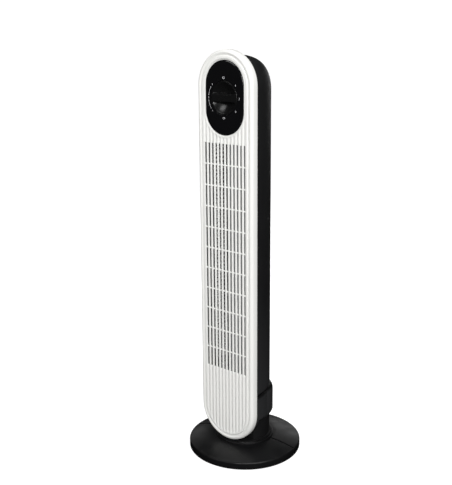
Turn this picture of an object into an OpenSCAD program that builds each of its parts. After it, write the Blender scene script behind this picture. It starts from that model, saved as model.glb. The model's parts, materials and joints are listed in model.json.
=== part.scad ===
// Oscillating tower fan: a stadium-shaped tower on a round domed base.
// Millimetres. +Z is up, the front faces -Y, and the swivel axis is the Z axis.
// "Forward" distances run from the swivel axis towards the front (-Y).

/* [Base] */
// Diameter of the round base
base_diameter = 230; // [225:1:240]
// Height of the base's upright rim, feet not counted
base_rim_height = 15; // [13:1:16]
// How far the base seam is turned from the front: the tower rests turned on its base
base_turn = 11; // [8:1:14]
// Swing of the tower to each side of straight ahead, in degrees
swing_each_way = 35; // [30:1:40]

/* [Tower] */
// Width of the white front panel
panel_width = 132; // [130:1:134]
// Height of the panel's highest point above the floor
panel_top = 808; // [806:1:816]
// Height of the panel's lowest point above the floor
panel_bottom = 33; // [33:1:34]
// Forward distance of the panel's face
face_forward = 58; // [57.5:0.5:60]
// Depth of the panel's side, from its face to the seam with the rear housing
panel_side_depth = 16; // [15:1:17]
// Radius of the panel's outer edge
panel_edge_radius = 6; // [4:1:7]
// Distance of the rear housing's back from the swivel axis
housing_back = 51.5; // [51:0.5:52]

/* [Grille] */
// Columns of air slots
slot_columns = 12; // [12:1:12]
// Rows of air slots
slot_rows = 11; // [9:1:11]
// Distance between slot columns
column_pitch = 8.57; // [8.4:0.01:8.6]
// Distance between slot rows
row_pitch = 41.3; // [40:0.1:41.5]
// Top of the highest row of slots
grille_top = 637; // [636:1:638]
// Width of one slot
slot_width = 4.4; // [3.6:0.1:4.8]

/* [Controls] */
// Width of the black control panel
control_width = 90.6; // [88:0.2:92]
// Height of the black control panel
control_height = 137.5; // [130:0.5:138]
// Height of the knob's centre above the floor
knob_height = 720.3; // [719:0.1:721]
// Diameter of the knob
knob_diameter = 62; // [58:1:62]

/* [Air path] */
// Diameter of the cross-flow impeller
impeller_diameter = 76; // [70:1:78]
// Number of impeller blades
blade_count = 28; // [20:1:32]
// Distance between the outlet's horizontal fins
fin_pitch = 8; // [7.5:0.5:10]

/* [Hidden] */

$fn = 96;
cut = 1;                  // how far cutting tools run past a face
wall = 2.5;               // moulded wall thickness

// Base
base_radius = base_diameter / 2;
foot_gap = 2;             // the rim's lower edge stands this high
rim_top = foot_gap + base_rim_height;
rim_edge = 3.5;           // rounding of the rim's upper edge
rim_foot = 2;             // slope of the rim's lower edge
dome_top = 26.5;
dome_inner = 60;          // the dome is level inside this radius
dome_curve = 1.7;         // how slowly the dome starts to fall
dome_steps = 8;
base_wall = 3;
base_seat = 50.3;         // bore of the base halves, round the swivel ring
ring_bore = 43.8;
ring_seat_radius = 50;
ring_low = 21;
ring_flange_radius = 59.5;
ring_flange_top = 30;
ring_flange_edge = 0.8;   // step at the flange's upper edge
ring_screw_circle = dome_inner - 5;
ring_screw_angles = [45, 135, 225, 315];
foot_radius = 7;
foot_circle = 100;
foot_count = 6;
foot_first_angle = 30;
boss_radius = 5;
yoke_boss_circle = 64;

// Neck and swing drive
neck_radius = 51.5;
neck_foot = 31.4;
neck_foot_radius = 55.5;
neck_foot_top = 32.8;
neck_top = 82;            // also the underside of the housing's floor
neck_cut_forward = 28;    // the neck's flat front
neck_floor = 3;           // thickness of the neck's two floors
stub_radius = ring_bore - 0.05;
stub_inner = 41;
stub_bottom = 20.2;
swing_floor = 60;
motor_room = 3;           // the swing motor stands this far above its floor's underside
neck_screw_x = 46;
neck_screw_y = 8;
neck_boss_radius = 4.2;
neck_boss_height = 12;
yoke_bar_low = 11;
yoke_bar_high = 14;
yoke_arm_low = 38;
yoke_arm_high = 42;
yoke_slot_near = 14;      // the slot's end centres, behind the swivel axis
yoke_slot_far = 32;
yoke_slot_width = 12;
crank_centre = 20;        // distance of the crank's axis behind the swivel axis
crank_throw = 11.5;
crank_rest_angle = 30.4;  // puts the pin on the yoke's centre line at rest
crank_pin_radius = 2.5;
crank_low = 47;
crank_high = 52;

// Front panel
half_panel = panel_width / 2;
seam_forward = face_forward - panel_side_depth;
plate_thickness = 4.5;
plate_back = face_forward - plate_thickness;
border = 12;              // the raised inner field starts this far from the outline
channel_width = 3;
channel_depth = 2;
field_half = half_panel - border;
flute_radius = 3.4;
flute_depth = 1.5;
flute_margin = 4;
slot_gap = 2.8;           // height of the cross bar between two slots
slot_depth = 2.6;         // the plate is thinned to this behind the slots
slots_half = slot_columns * column_pitch / 2;
control_seat_depth = 2;
control_seat_gap = 0.3;
control_rim = 2.4;        // width of the solid rim round the control panel's seat
control_proud = 0.6;
knob_hole_radius = 34;

// Rear housing
half_housing = half_panel - 2;
housing_top = panel_top - 10;
housing_bottom = panel_bottom + 3;
skirt_back = -neck_cut_forward;
plan_depth = housing_back + seam_forward;
side_arc_radius = 130;
// The round back that just meets the side arcs, and a little more so that they cross
back_arc_radius = (half_housing * half_housing + plan_depth * plan_depth
                   - 2 * side_arc_radius * half_housing) / (2 * (plan_depth - side_arc_radius)) + 0.25;
plan_join = 26.8;         // the arcs cross on both sides of this depth
roof_radius = 55;
post_radius = 4.6;
post_inset = 8.5;         // from the housing's side to a panel screw
post_back = 28;
wiring_hole_radius = 36;
inlet_low = 182;
inlet_high = 632;
inlet_pitch = 12;
inlet_height = 5;
inlet_half = 16;
grip_half = 31;
grip_low = 672;
grip_high = 698;
grip_floor = 24;

// Lower rear cover: a flush band round the housing, swelling into a bulge at the back
cover_thickness = 1.4;
cover_gap = 0.1;
cover_low = neck_top + wall + 0.2;
cover_high = 133.5;
cover_seam = 1.2;         // open groove above the band
bulge_radius = 56;
bulge_centre = 4;         // the bulge's centre, behind the swivel axis
bulge_low = 66;
bulge_full_low = 81;      // the bulge has its full radius between these heights
bulge_full_high = 126;
bulge_high = 138;
gland_height = 103;
gland_radius = 6;
gland_flange_radius = 8;
gland_bore = 3.6;

// Impeller and its duct
impeller_x = 6;
impeller_y = -2;
impeller_radius = impeller_diameter / 2;
impeller_low = 190;
impeller_high = 632;
impeller_disc = 2;
hub_radius = 11;
pin_radius = 3;
duct_low = 176;
duct_high = 640;
duct_left = -43;
duct_right = 8.6;
duct_wall = 2;
outlet_half = 50.5;       // the two duct walls' flanges reach this far from the centre
plate_gap = 0.2;
scroll_start = 112;       // direction of the scroll's first point, seen from the impeller's axis
scroll_turn = 68;
scroll_gap = 3;
scroll_growth = 7;
scroll_steps = 12;

// Fan motor
motor_low = 112;
motor_high = 152;
motor_radius = 38;
motor_shell_radius = 37;
motor_bore = 20;
motor_stack = 8;          // the laminations start this far from each end
shaft_radius = 4;
shaft_low = 98;
bearing_radius = 7;
bearing_length = 8;
bush_radius = 6;
bush_clearance = 0.05;
tie_circle = 34;
tie_angles = [45, 135, 225, 315];
bracket_thickness = 3;
cross_half = 48;          // half width of the plates across the housing

// Controls
knob_radius = knob_diameter / 2;
knob_gap = 0.6;
control_face = face_forward + control_proud;
spindle_radius = 3;
switch_back = 18;         // forward distances of the switch's case
switch_front = 38;
switch_plate_front = 41;
switch_half = 21;
switch_post = 27.5;       // the switch plate's posts, left, right, above and below the knob's centre
switch_screw = 1.5;

// Wiring
terminal_low = neck_top + wall;
terminal_high = terminal_low + 10;
terminal_y = 40;
terminal_pitch = 10;
lead_radius = 1.8;

screw_shank = 2;
screw_head = 3.6;
screw_clearance = 0.1;
screw_heights = [115, 270, 425, 580, 735];

// ---- shared shapes ----

function arc_points(radius, start, stop, steps) = [for (i = [0:steps])
    let (angle = start + (stop - start) * i / steps)
    radius * [cos(angle), sin(angle)]];

// A solid whose outline is a stadium in XZ. Each profile point is [distance from the centre line, forward].
module stadium_solid(profile, half_width, low, high) {
    for (end = [[high - half_width, 0], [low + half_width, 180]])
        translate([0, 0, end[0]])
            rotate([0, end[1], 0])
                rotate([90, 0, 0])
                    rotate_extrude(angle = 180)
                        polygon(profile);
    for (side = [-1, 1])
        translate([0, 0, low + half_width])
            linear_extrude(high - low - 2 * half_width)
                polygon([for (p = profile) [side * p[0], -p[1]]]);
}

module stadium_plate(half_width, low, high, forward_back, forward_front) {
    stadium_solid([[0, forward_back], [half_width, forward_back], [half_width, forward_front],
                   [0, forward_front]], half_width, low, high);
}

module ring(outer, inner, low, high) {
    difference() {
        translate([0, 0, low]) cylinder(r = outer, h = high - low);
        translate([0, 0, low - cut]) cylinder(r = inner, h = high - low + 2 * cut);
    }
}

module disc(radius, low, high) {
    translate([0, 0, low]) cylinder(r = radius, h = high - low);
}

// A box given by its lowest and highest corners
module block(low, high) {
    translate(low) cube(high - low);
}

// Clearance hole for a screw along Z
module screw_hole(low, high) {
    disc(screw_shank + screw_clearance, low, high);
}

// A rod along Y between two forward distances
module forward_rod(radius, x, z, forward_back, forward_front) {
    translate([x, -forward_back, z]) rotate([90, 0, 0]) cylinder(r = radius, h = forward_front - forward_back);
}

module at_impeller() {
    translate([impeller_x, impeller_y, 0]) children();
}

// ---- base ----

// Points of the dome's fall from its level middle to the rim
function dome_points() = [for (i = [1:dome_steps]) let (t = i / dome_steps)
    [dome_inner + t * (base_radius - rim_edge - dome_inner),
     dome_top - (dome_top - rim_top) * pow(t, dome_curve)]];

function base_outer() = concat(
    [[base_seat, dome_top], [dome_inner, dome_top]],
    dome_points(),
    [for (p = arc_points(rim_edge, 80, 0, 5)) p + [base_radius - rim_edge, rim_top - rim_edge]],
    [[base_radius, foot_gap + rim_foot], [base_radius - rim_foot, foot_gap]]);

function base_inner() = let (inside = base_radius - base_wall - 1, dome = dome_points()) concat(
    [[inside, foot_gap], [inside, rim_top - rim_edge - 1]],
    [for (i = [dome_steps - 1:-1:0]) dome[i] - [2, base_wall]],
    [[dome_inner, dome_top - base_wall], [base_seat, dome_top - base_wall]]);

// One moulded half of the base, the seam along X before base_turn is applied
module base_half() {
    post_low = 3;
    post_high = 18;
    ring_boss_radius = 4.4;
    ring_boss_low = 14;
    yoke_boss_low = yoke_bar_high + 0.2;
    yoke_boss_high = 24.7;
    difference() {
        union() {
            rotate_extrude(angle = 180) polygon(concat(base_outer(), base_inner()));
            for (i = [0:foot_count / 2 - 1])
                rotate(foot_first_angle + 360 / foot_count * i)
                    translate([foot_circle, 0, 0])
                        disc(foot_radius, post_low, post_high);
            for (angle = [45, 135])
                rotate(angle)
                    translate([ring_screw_circle, 0, 0])
                        disc(ring_boss_radius, ring_boss_low, dome_top - 1);
            rotate(90)
                translate([yoke_boss_circle, 0, 0])
                    disc(boss_radius, yoke_boss_low, yoke_boss_high);
        }
        for (angle = [45, 135])
            rotate(angle)
                translate([ring_screw_circle, 0, 0])
                    screw_hole(ring_boss_low - cut, dome_top + cut);
        rotate(90)
            translate([yoke_boss_circle, 0, 0])
                screw_hole(yoke_boss_low - cut, 21);
    }
}

module base_front_half() {
    color("#1d1d1f") rotate(base_turn + 180) base_half();
}

module base_rear_half() {
    color("#1d1d1f") rotate(base_turn) base_half();
}

module swivel_ring() {
    color("#19191b")
        difference() {
            union() {
                ring(ring_seat_radius, ring_bore, ring_low, ring_flange_top);
                ring(ring_flange_radius, ring_bore, dome_top, ring_flange_top - ring_flange_edge);
                ring(ring_flange_radius - ring_flange_edge, ring_bore, dome_top, ring_flange_top);
            }
            for (angle = ring_screw_angles)
                rotate(base_turn + angle)
                    translate([ring_screw_circle, 0, 0])
                        screw_hole(dome_top - cut, dome_top + 2.4);
        }
}

module glide_ring() {
    color("#e8e6dc") ring(ring_seat_radius + 0.5, ring_bore + 0.7, ring_flange_top, neck_foot - 0.2);
}

module swing_yoke() {
    bar_half = 8;
    bar_reach = yoke_boss_circle + 7;
    post = 6.5;
    arm_half = 11;
    arm_back = 42;
    color("#8d9094")
        rotate(base_turn)
            difference() {
                union() {
                    block([-bar_half, -bar_reach, yoke_bar_low], [bar_half, bar_reach, yoke_bar_high]);
                    disc(post, yoke_bar_low + 1, yoke_arm_high - 2);
                    block([-arm_half, -9, yoke_arm_low], [arm_half, arm_back, yoke_arm_high]);
                }
                for (y = [yoke_slot_near, yoke_slot_far])
                    translate([0, y, 0])
                        disc(yoke_slot_width / 2, yoke_arm_low - 2 * cut, yoke_arm_high + 2 * cut);
                block([-yoke_slot_width / 2, yoke_slot_near, yoke_arm_low - cut],
                      [yoke_slot_width / 2, yoke_slot_far, yoke_arm_high + cut]);
                for (side = [-1, 1])
                    translate([0, side * yoke_boss_circle, 0])
                        screw_hole(yoke_bar_low - cut, yoke_bar_high + cut);
            }
}

module base_screws() {
    color("#b9bcc0")
        rotate(base_turn) {
            for (angle = ring_screw_angles)
                rotate(angle)
                    translate([ring_screw_circle, 0, 0]) {
                        disc(screw_shank, 12, dome_top + 2);
                        disc(screw_head, 11.4, 14);
                    }
            for (side = [-1, 1])
                translate([0, side * yoke_boss_circle, 0]) {
                    disc(screw_shank, yoke_bar_low - 2, 20);
                    disc(screw_head, yoke_bar_low - 2.6, yoke_bar_low);
                }
        }
}

module rubber_feet() {
    taper = 1.2;
    height = 3;
    color("#2b2b2b")
        for (i = [0:foot_count - 1])
            rotate(base_turn + foot_first_angle + 360 / foot_count * i)
                translate([foot_circle, 0, 0]) {
                    cylinder(r1 = foot_radius - 1, r2 = foot_radius, h = taper);
                    disc(foot_radius, taper - 0.1, height);
                }
}

// ---- neck and swing drive ----

module neck_tube(radius, low, high, flat_forward) {
    difference() {
        disc(radius, low, high);
        block([-80, -80, low - cut], [80, -flat_forward, high + cut]);
    }
}

// The room above the swing motor's floor, less the two screw bosses
module neck_interior() {
    difference() {
        neck_tube(neck_radius - wall, swing_floor + motor_room, neck_top + cut, neck_cut_forward - wall);
        for (side = [-1, 1])
            translate([side * neck_screw_x, neck_screw_y, 0])
                ring(neck_boss_radius, screw_shank + screw_clearance, neck_top - neck_boss_height,
                     neck_top + 2 * cut);
    }
}

module neck() {
    boss_hole = 6;
    color("#1d1d1f")
        difference() {
            union() {
                neck_tube(neck_radius, neck_foot_top - cut, neck_top, neck_cut_forward);
                disc(neck_foot_radius, neck_foot, neck_foot_top);
                disc(stub_radius, stub_bottom, neck_foot_top);
            }
            disc(stub_inner, stub_bottom - cut, neck_foot - 2);
            neck_tube(stub_inner, neck_foot - neck_floor, neck_foot_top + neck_floor + cut,
                      neck_cut_forward - wall);
            neck_tube(neck_radius - wall, neck_foot_top + neck_floor, swing_floor, neck_cut_forward - wall);
            neck_interior();
            translate([0, crank_centre, 0]) disc(boss_hole, swing_floor - cut, swing_floor + motor_room + cut);
        }
}

module retainer_ring() {
    color("#3a3b3d") ring(ring_bore + 4.7, stub_inner, stub_bottom - 3.4, stub_bottom);
}

module swing_motor() {
    can_radius = 24;
    boss = 5;
    can_low = swing_floor + motor_room;
    color("#c9ccd0")
        translate([0, crank_centre, 0]) {
            disc(can_radius, can_low, neck_top - 2);
            disc(boss, swing_floor - 1, can_low + cut);
        }
}

module swing_crank() {
    crank_radius = 16;
    spindle = 3;
    color("#efece2")
        translate([0, crank_centre, 0]) {
            difference() {
                disc(crank_radius, crank_low, crank_high);
                rotate(90 + crank_rest_angle)
                    translate([crank_throw, 0, 0])
                        disc(crank_pin_radius, crank_low - cut, crank_high + cut);
            }
            disc(spindle, crank_high - 0.5, swing_floor - 1.3);
        }
}

module crank_pin() {
    color("#b9bcc0")
        translate([0, crank_centre, 0])
            rotate(90 + crank_rest_angle)
                translate([crank_throw, 0, 0])
                    disc(crank_pin_radius, yoke_arm_low - 3, crank_high);
}

// ---- rear housing ----

// The housing's plan, grown or shrunk by "grow": two long side arcs closed by a round back
module housing_plan(grow, low, high, front = seam_forward) {
    side_centre = side_arc_radius - half_housing;
    back_centre = housing_back - back_arc_radius;
    reach = 90;
    intersection() {
        translate([side_centre, -seam_forward, 0]) disc(side_arc_radius + grow, low, high);
        translate([-side_centre, -seam_forward, 0]) disc(side_arc_radius + grow, low, high);
        union() {
            block([-reach, -front, low], [reach, plan_join, high]);
            translate([0, back_centre, 0]) disc(back_arc_radius + grow, low, high);
        }
    }
}

// The roof's side profile, flat in front and rounded down to the back
module roof_profile(grow) {
    top = housing_top + grow;
    back = housing_back + grow;
    centre = [back - roof_radius, top - roof_radius];
    rotate([90, 0, 90])
        translate([0, 0, -100])
            linear_extrude(200)
                polygon(concat(
                    [[-seam_forward - 2 * cut, 0], [-seam_forward - 2 * cut, top]],
                    [for (p = arc_points(roof_radius, 90, 0, 12)) p + centre],
                    [[back, 0]]));
}

module housing_solid(grow, front = seam_forward) {
    intersection() {
        housing_plan(grow, neck_top - grow, housing_top + 10, front);
        stadium_plate(half_housing + grow, housing_bottom - grow, housing_top + grow, -90, front);
        roof_profile(grow);
    }
}

module skirt_solid(grow, front = seam_forward) {
    intersection() {
        stadium_plate(half_housing + grow, housing_bottom - grow, housing_top + grow,
                      -skirt_back - grow, front);
        block([-90, -90, 0], [90, 0, neck_top + wall]);
    }
}

module inlet_slots() {
    middle_start = 16;
    side_start = -4;
    for (z = [inlet_low:inlet_pitch:inlet_high], x = [-38, 0, 38])
        block([x - inlet_half, x == 0 ? middle_start : side_start, z], [x + inlet_half, 70, z + inlet_height]);
}

module screw_places() {
    for (z = screw_heights, side = [-1, 1])
        translate([side * (half_housing - post_inset), 0, z]) children();
}

// The panel screws' posts, each tied to the wall by a rib
module screw_posts() {
    rib = [8, seam_forward - post_back, 3];
    screw_places() forward_rod(post_radius, 0, 0, post_back, seam_forward);
    for (z = screw_heights, side = [-1, 1])
        translate([side * (half_housing - rib[0] / 2) - rib[0] / 2, -seam_forward, z - rib[2] / 2])
            cube(rib);
}

// The hand hold in the upper back
module grip_pocket(grow) {
    block([-grip_half - grow, grip_floor - grow, grip_low - grow], [grip_half + grow, 60, grip_high + grow]);
}

// The housing between two heights, its rounded foot included
module housing_band(grow, low, high) {
    intersection() {
        housing_plan(grow, low, high);
        stadium_plate(half_housing + grow, housing_bottom - grow, housing_top, -90, seam_forward);
    }
}

// What is cut from the housing's outside to let the lower cover lie flush
module cover_recess() {
    difference() {
        disc(base_radius, neck_top + wall, cover_high + cover_seam);
        housing_band(-cover_thickness - cover_gap, neck_top, cover_high + 2 * cover_seam);
    }
}

module rear_housing() {
    color("#1b1b1d")
        difference() {
            union() {
                difference() {
                    union() {
                        difference() {
                            housing_solid(0);
                            cover_recess();
                        }
                        skirt_solid(0);
                    }
                    housing_solid(-wall, seam_forward + cut);
                    skirt_solid(-wall, seam_forward + cut);
                    inlet_slots();
                }
                intersection() {
                    housing_solid(0);
                    grip_pocket(wall);
                }
                intersection() {
                    housing_solid(-cover_thickness - 1);
                    screw_posts();
                }
            }
            grip_pocket(0);
            screw_places() forward_rod(screw_shank + screw_clearance, 0, 0, 20, seam_forward + cut);
            disc(wiring_hole_radius, neck_top - cut, neck_top + wall + cut);
            for (side = [-1, 1])
                translate([side * neck_screw_x, neck_screw_y, 0])
                    screw_hole(neck_top - cut, neck_top + wall + cut);
            forward_rod(gland_radius + 1, 0, gland_height, -60, -40);
        }
}

// The bulge's rounded body, or its hollow when shrunk
module bulge_solid(shrink) {
    radius = bulge_radius - shrink;
    foot = 9;
    translate([0, bulge_centre, 0])
        rotate_extrude()
            polygon([[0, bulge_low + 2 * shrink], [radius - foot, bulge_low + 2 * shrink],
                     [radius, bulge_full_low + shrink], [radius, bulge_full_high - shrink],
                     [radius - 1.2, bulge_full_high + 4.5 - shrink], [radius - 3.7, bulge_high - 3.3 - shrink],
                     [radius - 6.7, bulge_high - shrink], [0, bulge_high - shrink]]);
}

module lower_rear_cover() {
    band_start = 0.2;
    color("#212123")
        difference() {
            union() {
                intersection() {
                    housing_band(0, cover_low, cover_high);
                    block([-90, band_start - seam_forward, 0], [90, 90, 200]);
                }
                intersection() {
                    bulge_solid(0);
                    block([-90, 0, 0], [90, 90, 200]);
                }
            }
            housing_band(-cover_thickness, neck_top, cover_high + cut);
            housing_plan(cover_gap, neck_top - cut, cover_low);
            housing_plan(cover_gap, cover_high, 200);
            disc(neck_radius + 0.3, 0, neck_top - cut);
            intersection() {
                bulge_solid(wall);
                block([-90, 0, 0], [90, 90, 200]);
            }
            forward_rod(gland_radius + 0.05, 0, gland_height, -70, -40);
        }
}

module cord_gland() {
    back = housing_back + 13.5;
    flange = 4.8;
    color("#151516")
        difference() {
            union() {
                forward_rod(gland_radius, 0, gland_height, -back, -housing_back - 1);
                forward_rod(gland_flange_radius, 0, gland_height, -back, -back + flange);
            }
            forward_rod(gland_bore, 0, gland_height, -back - cut, -housing_back);
        }
}

// ---- front panel and controls ----

function panel_outer() = concat(
    [[0, face_forward], [field_half, face_forward]],
    [[field_half + channel_width / 5, face_forward - channel_depth],
     [field_half + channel_width, face_forward - channel_depth],
     [half_panel - panel_edge_radius, face_forward]],
    [for (p = arc_points(panel_edge_radius, 80, 0, 6))
        p + [half_panel - panel_edge_radius, face_forward - panel_edge_radius]],
    [[half_panel, seam_forward]]);

function panel_inner() = [
    [half_panel - wall, seam_forward],
    [half_panel - wall, plate_back - 2],
    [half_panel - wall - 3, plate_back],
    [0, plate_back]];

module panel_slots() {
    for (column = [0:slot_columns - 1], row = [0:slot_rows - 1])
        translate([(column - (slot_columns - 1) / 2) * column_pitch - slot_width / 2,
                   -face_forward - cut,
                   grille_top - (row + 1) * row_pitch + slot_gap / 2])
            cube([slot_width, plate_thickness + 2 * cut, row_pitch - slot_gap]);
}

// The shallow pocket behind the slots
module grille_pocket() {
    block([-slots_half, slot_depth - face_forward, grille_top - slot_rows * row_pitch],
          [slots_half, cut - plate_back, grille_top]);
}

// Shallow upright flutes in line with the slots, ending at the field's rounded outline
module panel_flutes() {
    for (column = [0:slot_columns - 1]) {
        x = (column - (slot_columns - 1) / 2) * column_pitch;
        reach = field_half - flute_margin;
        low = panel_bottom + half_panel - sqrt(reach * reach - x * x);
        high = knob_height;
        translate([x, -face_forward - flute_radius + flute_depth, low])
            cylinder(r = flute_radius, h = high - low, $fn = 48);
    }
}

module control_outline(grow, forward_back, forward_front) {
    half = control_width / 2 + grow;
    low = knob_height - control_height / 2 - grow;
    high = knob_height + control_height / 2 + grow;
    stadium_plate(half, low, high, forward_back, forward_front);
}

module switch_places() {
    for (x = [-switch_post, switch_post], z = [-switch_post, switch_post])
        translate([x, 0, knob_height + z]) children();
}

module front_panel() {
    switch_boss = 3.4;
    pilot = 1.6;
    color("#f1f1ee")
        difference() {
            union() {
                difference() {
                    stadium_solid(concat(panel_outer(), panel_inner()), half_panel, panel_bottom, panel_top);
                    panel_flutes();
                }
                control_outline(control_rim, plate_back, face_forward);
                screw_places() forward_rod(post_radius, 0, 0, seam_forward + 0.2, plate_back + 0.5);
                switch_places() forward_rod(switch_boss, 0, 0, switch_plate_front, plate_back + 0.5);
            }
            control_outline(control_seat_gap, face_forward - control_seat_depth, face_forward + 5);
            forward_rod(knob_hole_radius, 0, knob_height, 20, 80);
            switch_places() forward_rod(pilot, 0, 0, 20, plate_back);
            panel_slots();
            grille_pocket();
            screw_places() forward_rod(screw_shank + screw_clearance, 0, 0, 20, plate_back);
        }
}

module control_panel() {
    half = control_width / 2;
    low = knob_height - control_height / 2;
    high = knob_height + control_height / 2;
    back = face_forward - control_seat_depth;
    edge = 0.6;
    bevel = 5;
    color("#101011")
        difference() {
            stadium_solid([[0, back], [half, back], [half, back + edge], [half - bevel, control_face],
                           [0, control_face]], half, low, high);
            forward_rod(knob_radius + knob_gap, 0, knob_height, 20, 80);
        }
}

module rotary_switch() {
    plate_half = 31.5;
    neck_of_switch = 6;
    tag_half = 2;
    tag_tip = 10;
    tag_drop = 12;
    tag_height = 4;
    color("#d8d4c8")
        difference() {
            union() {
                block([-switch_half, -switch_front, knob_height - switch_half],
                      [switch_half, -switch_back, knob_height + switch_half]);
                block([-plate_half, -switch_plate_front, knob_height - plate_half],
                      [plate_half, -switch_front - 0.5, knob_height + plate_half]);
                forward_rod(neck_of_switch, 0, knob_height, switch_front, switch_plate_front);
                for (x = [-14, -5, 5, 14])
                    block([x - tag_half, -switch_back - 0.5, knob_height - tag_drop],
                          [x + tag_half, -tag_tip, knob_height - tag_drop + tag_height]);
            }
            forward_rod(spindle_radius + bush_clearance, 0, knob_height, 24, 44);
            switch_places() forward_rod(switch_screw + screw_clearance, 0, 0, 30, 44);
        }
}

module switch_screws() {
    head = 2.8;
    color("#b9bcc0")
        switch_places() {
            forward_rod(switch_screw, 0, 0, switch_front - 1, 50);
            forward_rod(head, 0, 0, switch_front - 1.4, switch_front + 0.5);
        }
}

module switch_spindle() {
    color("#b9bcc0") forward_rod(spindle_radius, 0, knob_height, 26, 50);
}

module control_knob() {
    dish_radius = 45;
    dish_rim = knob_radius - 2.2;
    dish_centre = control_face + sqrt(dish_radius * dish_radius - dish_rim * dish_rim);
    bar_half = 7.6;
    knob_depth = 12.6;
    collar = 8;
    collar_depth = 16;
    color("#0f0f10")
        difference() {
            union() {
                forward_rod(knob_radius, 0, knob_height, control_face - knob_depth, control_face);
                forward_rod(collar, 0, knob_height, control_face - collar_depth,
                            control_face - knob_depth + 0.6);
            }
            difference() {
                translate([0, -dish_centre, knob_height]) sphere(r = dish_radius);
                block([-40, -80, knob_height - bar_half], [40, 0, knob_height + bar_half]);
            }
            forward_rod(spindle_radius, 0, knob_height, 20, 50);
        }
}

// ---- air path ----

// The scroll's inner face: its distance from the impeller's axis grows from back to side
function scroll_points(grow) = [for (i = [0:scroll_steps])
    let (t = i / scroll_steps, angle = scroll_start + scroll_turn * t,
         radius = impeller_radius + scroll_gap + grow + scroll_growth * t)
    radius * [cos(angle), sin(angle)] + [impeller_x, impeller_y]];

module volute_wall() {
    outlet_y = -plate_back + plate_gap;
    flange = outlet_half + duct_left;
    outside = scroll_points(duct_wall);
    color("#2a2a2c")
        translate([0, 0, duct_low + plate_gap])
            linear_extrude(duct_high - duct_low - 2 * plate_gap)
                polygon(concat(
                    scroll_points(0),
                    [[duct_left, outlet_y], [duct_left - flange, outlet_y],
                     [duct_left - flange, outlet_y + duct_wall],
                     [duct_left - duct_wall, outlet_y + duct_wall]],
                    [for (i = [scroll_steps:-1:0]) outside[i]]));
}

module outlet_backing() {
    outlet_y = -plate_back + plate_gap;
    lip = 8.6;        // width of the sloping lip
    lip_rise = 10.3;
    tail = 20;        // how far the tail behind the lip reaches
    tail_rise = 14;
    color("#77797c")
        translate([duct_right, outlet_y, duct_low + plate_gap])
            linear_extrude(duct_high - duct_low - 2 * plate_gap)
                polygon([[0, 0], [outlet_half - duct_right, 0], [outlet_half - duct_right, duct_wall],
                         [3, duct_wall], [lip, lip_rise], [tail, tail_rise],
                         [tail - 0.6, tail_rise + duct_wall], [lip - 2, lip_rise + 1.5]]);
}

module outlet_fins() {
    fin_left = duct_left + 1;
    fin_right = -30;
    fin_back = -24;
    fin_front = -plate_back + 2.5;
    fin_low = 200;
    fin_thickness = 2.6;
    spine = 1.6;
    margin = 4;
    count = floor((duct_high - 2 * margin - fin_low) / fin_pitch);
    color("#ecebe6") {
        block([fin_left, fin_front, fin_low - margin],
              [fin_left + spine, fin_back, fin_low + count * fin_pitch + margin]);
        for (i = [0:count])
            block([fin_left + 1, fin_front, fin_low + i * fin_pitch],
                  [fin_right, fin_back, fin_low + i * fin_pitch + fin_thickness]);
    }
}

// One curved blade's outline, swept forward like a cross-flow wheel's
function blade_outline() = let (r = 9, thickness = 1.1)
    concat(arc_points(r, 205, 285, 3), arc_points(r - thickness, 285, 205, 3));

module impeller_wheel() {
    disc_count = 7;
    rim = 10;               // width of a middle ring
    blade_inset = 2.6;      // the blade's centre of curvature, from the wheel's edge
    blade_offset = 5.6;
    disc_pitch = (impeller_high - impeller_low - impeller_disc) / (disc_count - 1);
    color("#161617")
        at_impeller() {
            for (i = [0:disc_count - 1])
                ring(impeller_radius, impeller_radius - rim, impeller_low + i * disc_pitch,
                     impeller_low + i * disc_pitch + impeller_disc);
            disc(impeller_radius - rim + 1, impeller_high - impeller_disc, impeller_high);
            ring(impeller_radius - rim + 1, hub_radius, impeller_low, impeller_low + impeller_disc);
            for (i = [0:blade_count - 1])
                rotate(360 / blade_count * i)
                    translate([impeller_radius - blade_inset, blade_offset, impeller_low + 0.5])
                        linear_extrude(impeller_high - impeller_low - 1)
                            polygon(blade_outline());
        }
}

module impeller_hub() {
    flange = 15;
    hub_low = impeller_low - 6;
    hub_high = impeller_low + 16;
    color("#3c3c3e")
        at_impeller()
            difference() {
                union() {
                    disc(hub_radius, hub_low, hub_high);
                    disc(flange, impeller_low - 3, impeller_low);
                }
                disc(shaft_radius, hub_low - cut, impeller_low + 12);
            }
}

module top_pin() {
    flange = 8;
    color("#b9bcc0")
        at_impeller() {
            disc(pin_radius, impeller_high, duct_high + 7);
            disc(flange, impeller_high, impeller_high + 2);
        }
}

module motor_shaft() {
    color("#b9bcc0") at_impeller() disc(shaft_radius, shaft_low, impeller_low + 12);
}

module motor_rotor() {
    overhang = motor_stack - 2;
    color("#9a9da1")
        at_impeller() ring(motor_bore - 0.5, shaft_radius, motor_low + overhang, motor_high - overhang);
}

// The fan motor's four tie bolts
module tie_places() {
    for (angle = tie_angles)
        rotate(angle)
            translate([tie_circle, 0, 0])
                children();
}

module motor_stator() {
    color("#8a8d92")
        at_impeller()
            difference() {
                ring(motor_radius, motor_bore, motor_low + motor_stack, motor_high - motor_stack);
                tie_places() screw_hole(motor_low, motor_high);
            }
}

module motor_windings() {
    outer = 29;
    inner = motor_bore + 1;
    color("#b4713a")
        at_impeller() {
            ring(outer, inner, motor_high - motor_stack, motor_high - 1);
            ring(outer, inner, motor_low + 1, motor_low + motor_stack);
        }
}

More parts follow.
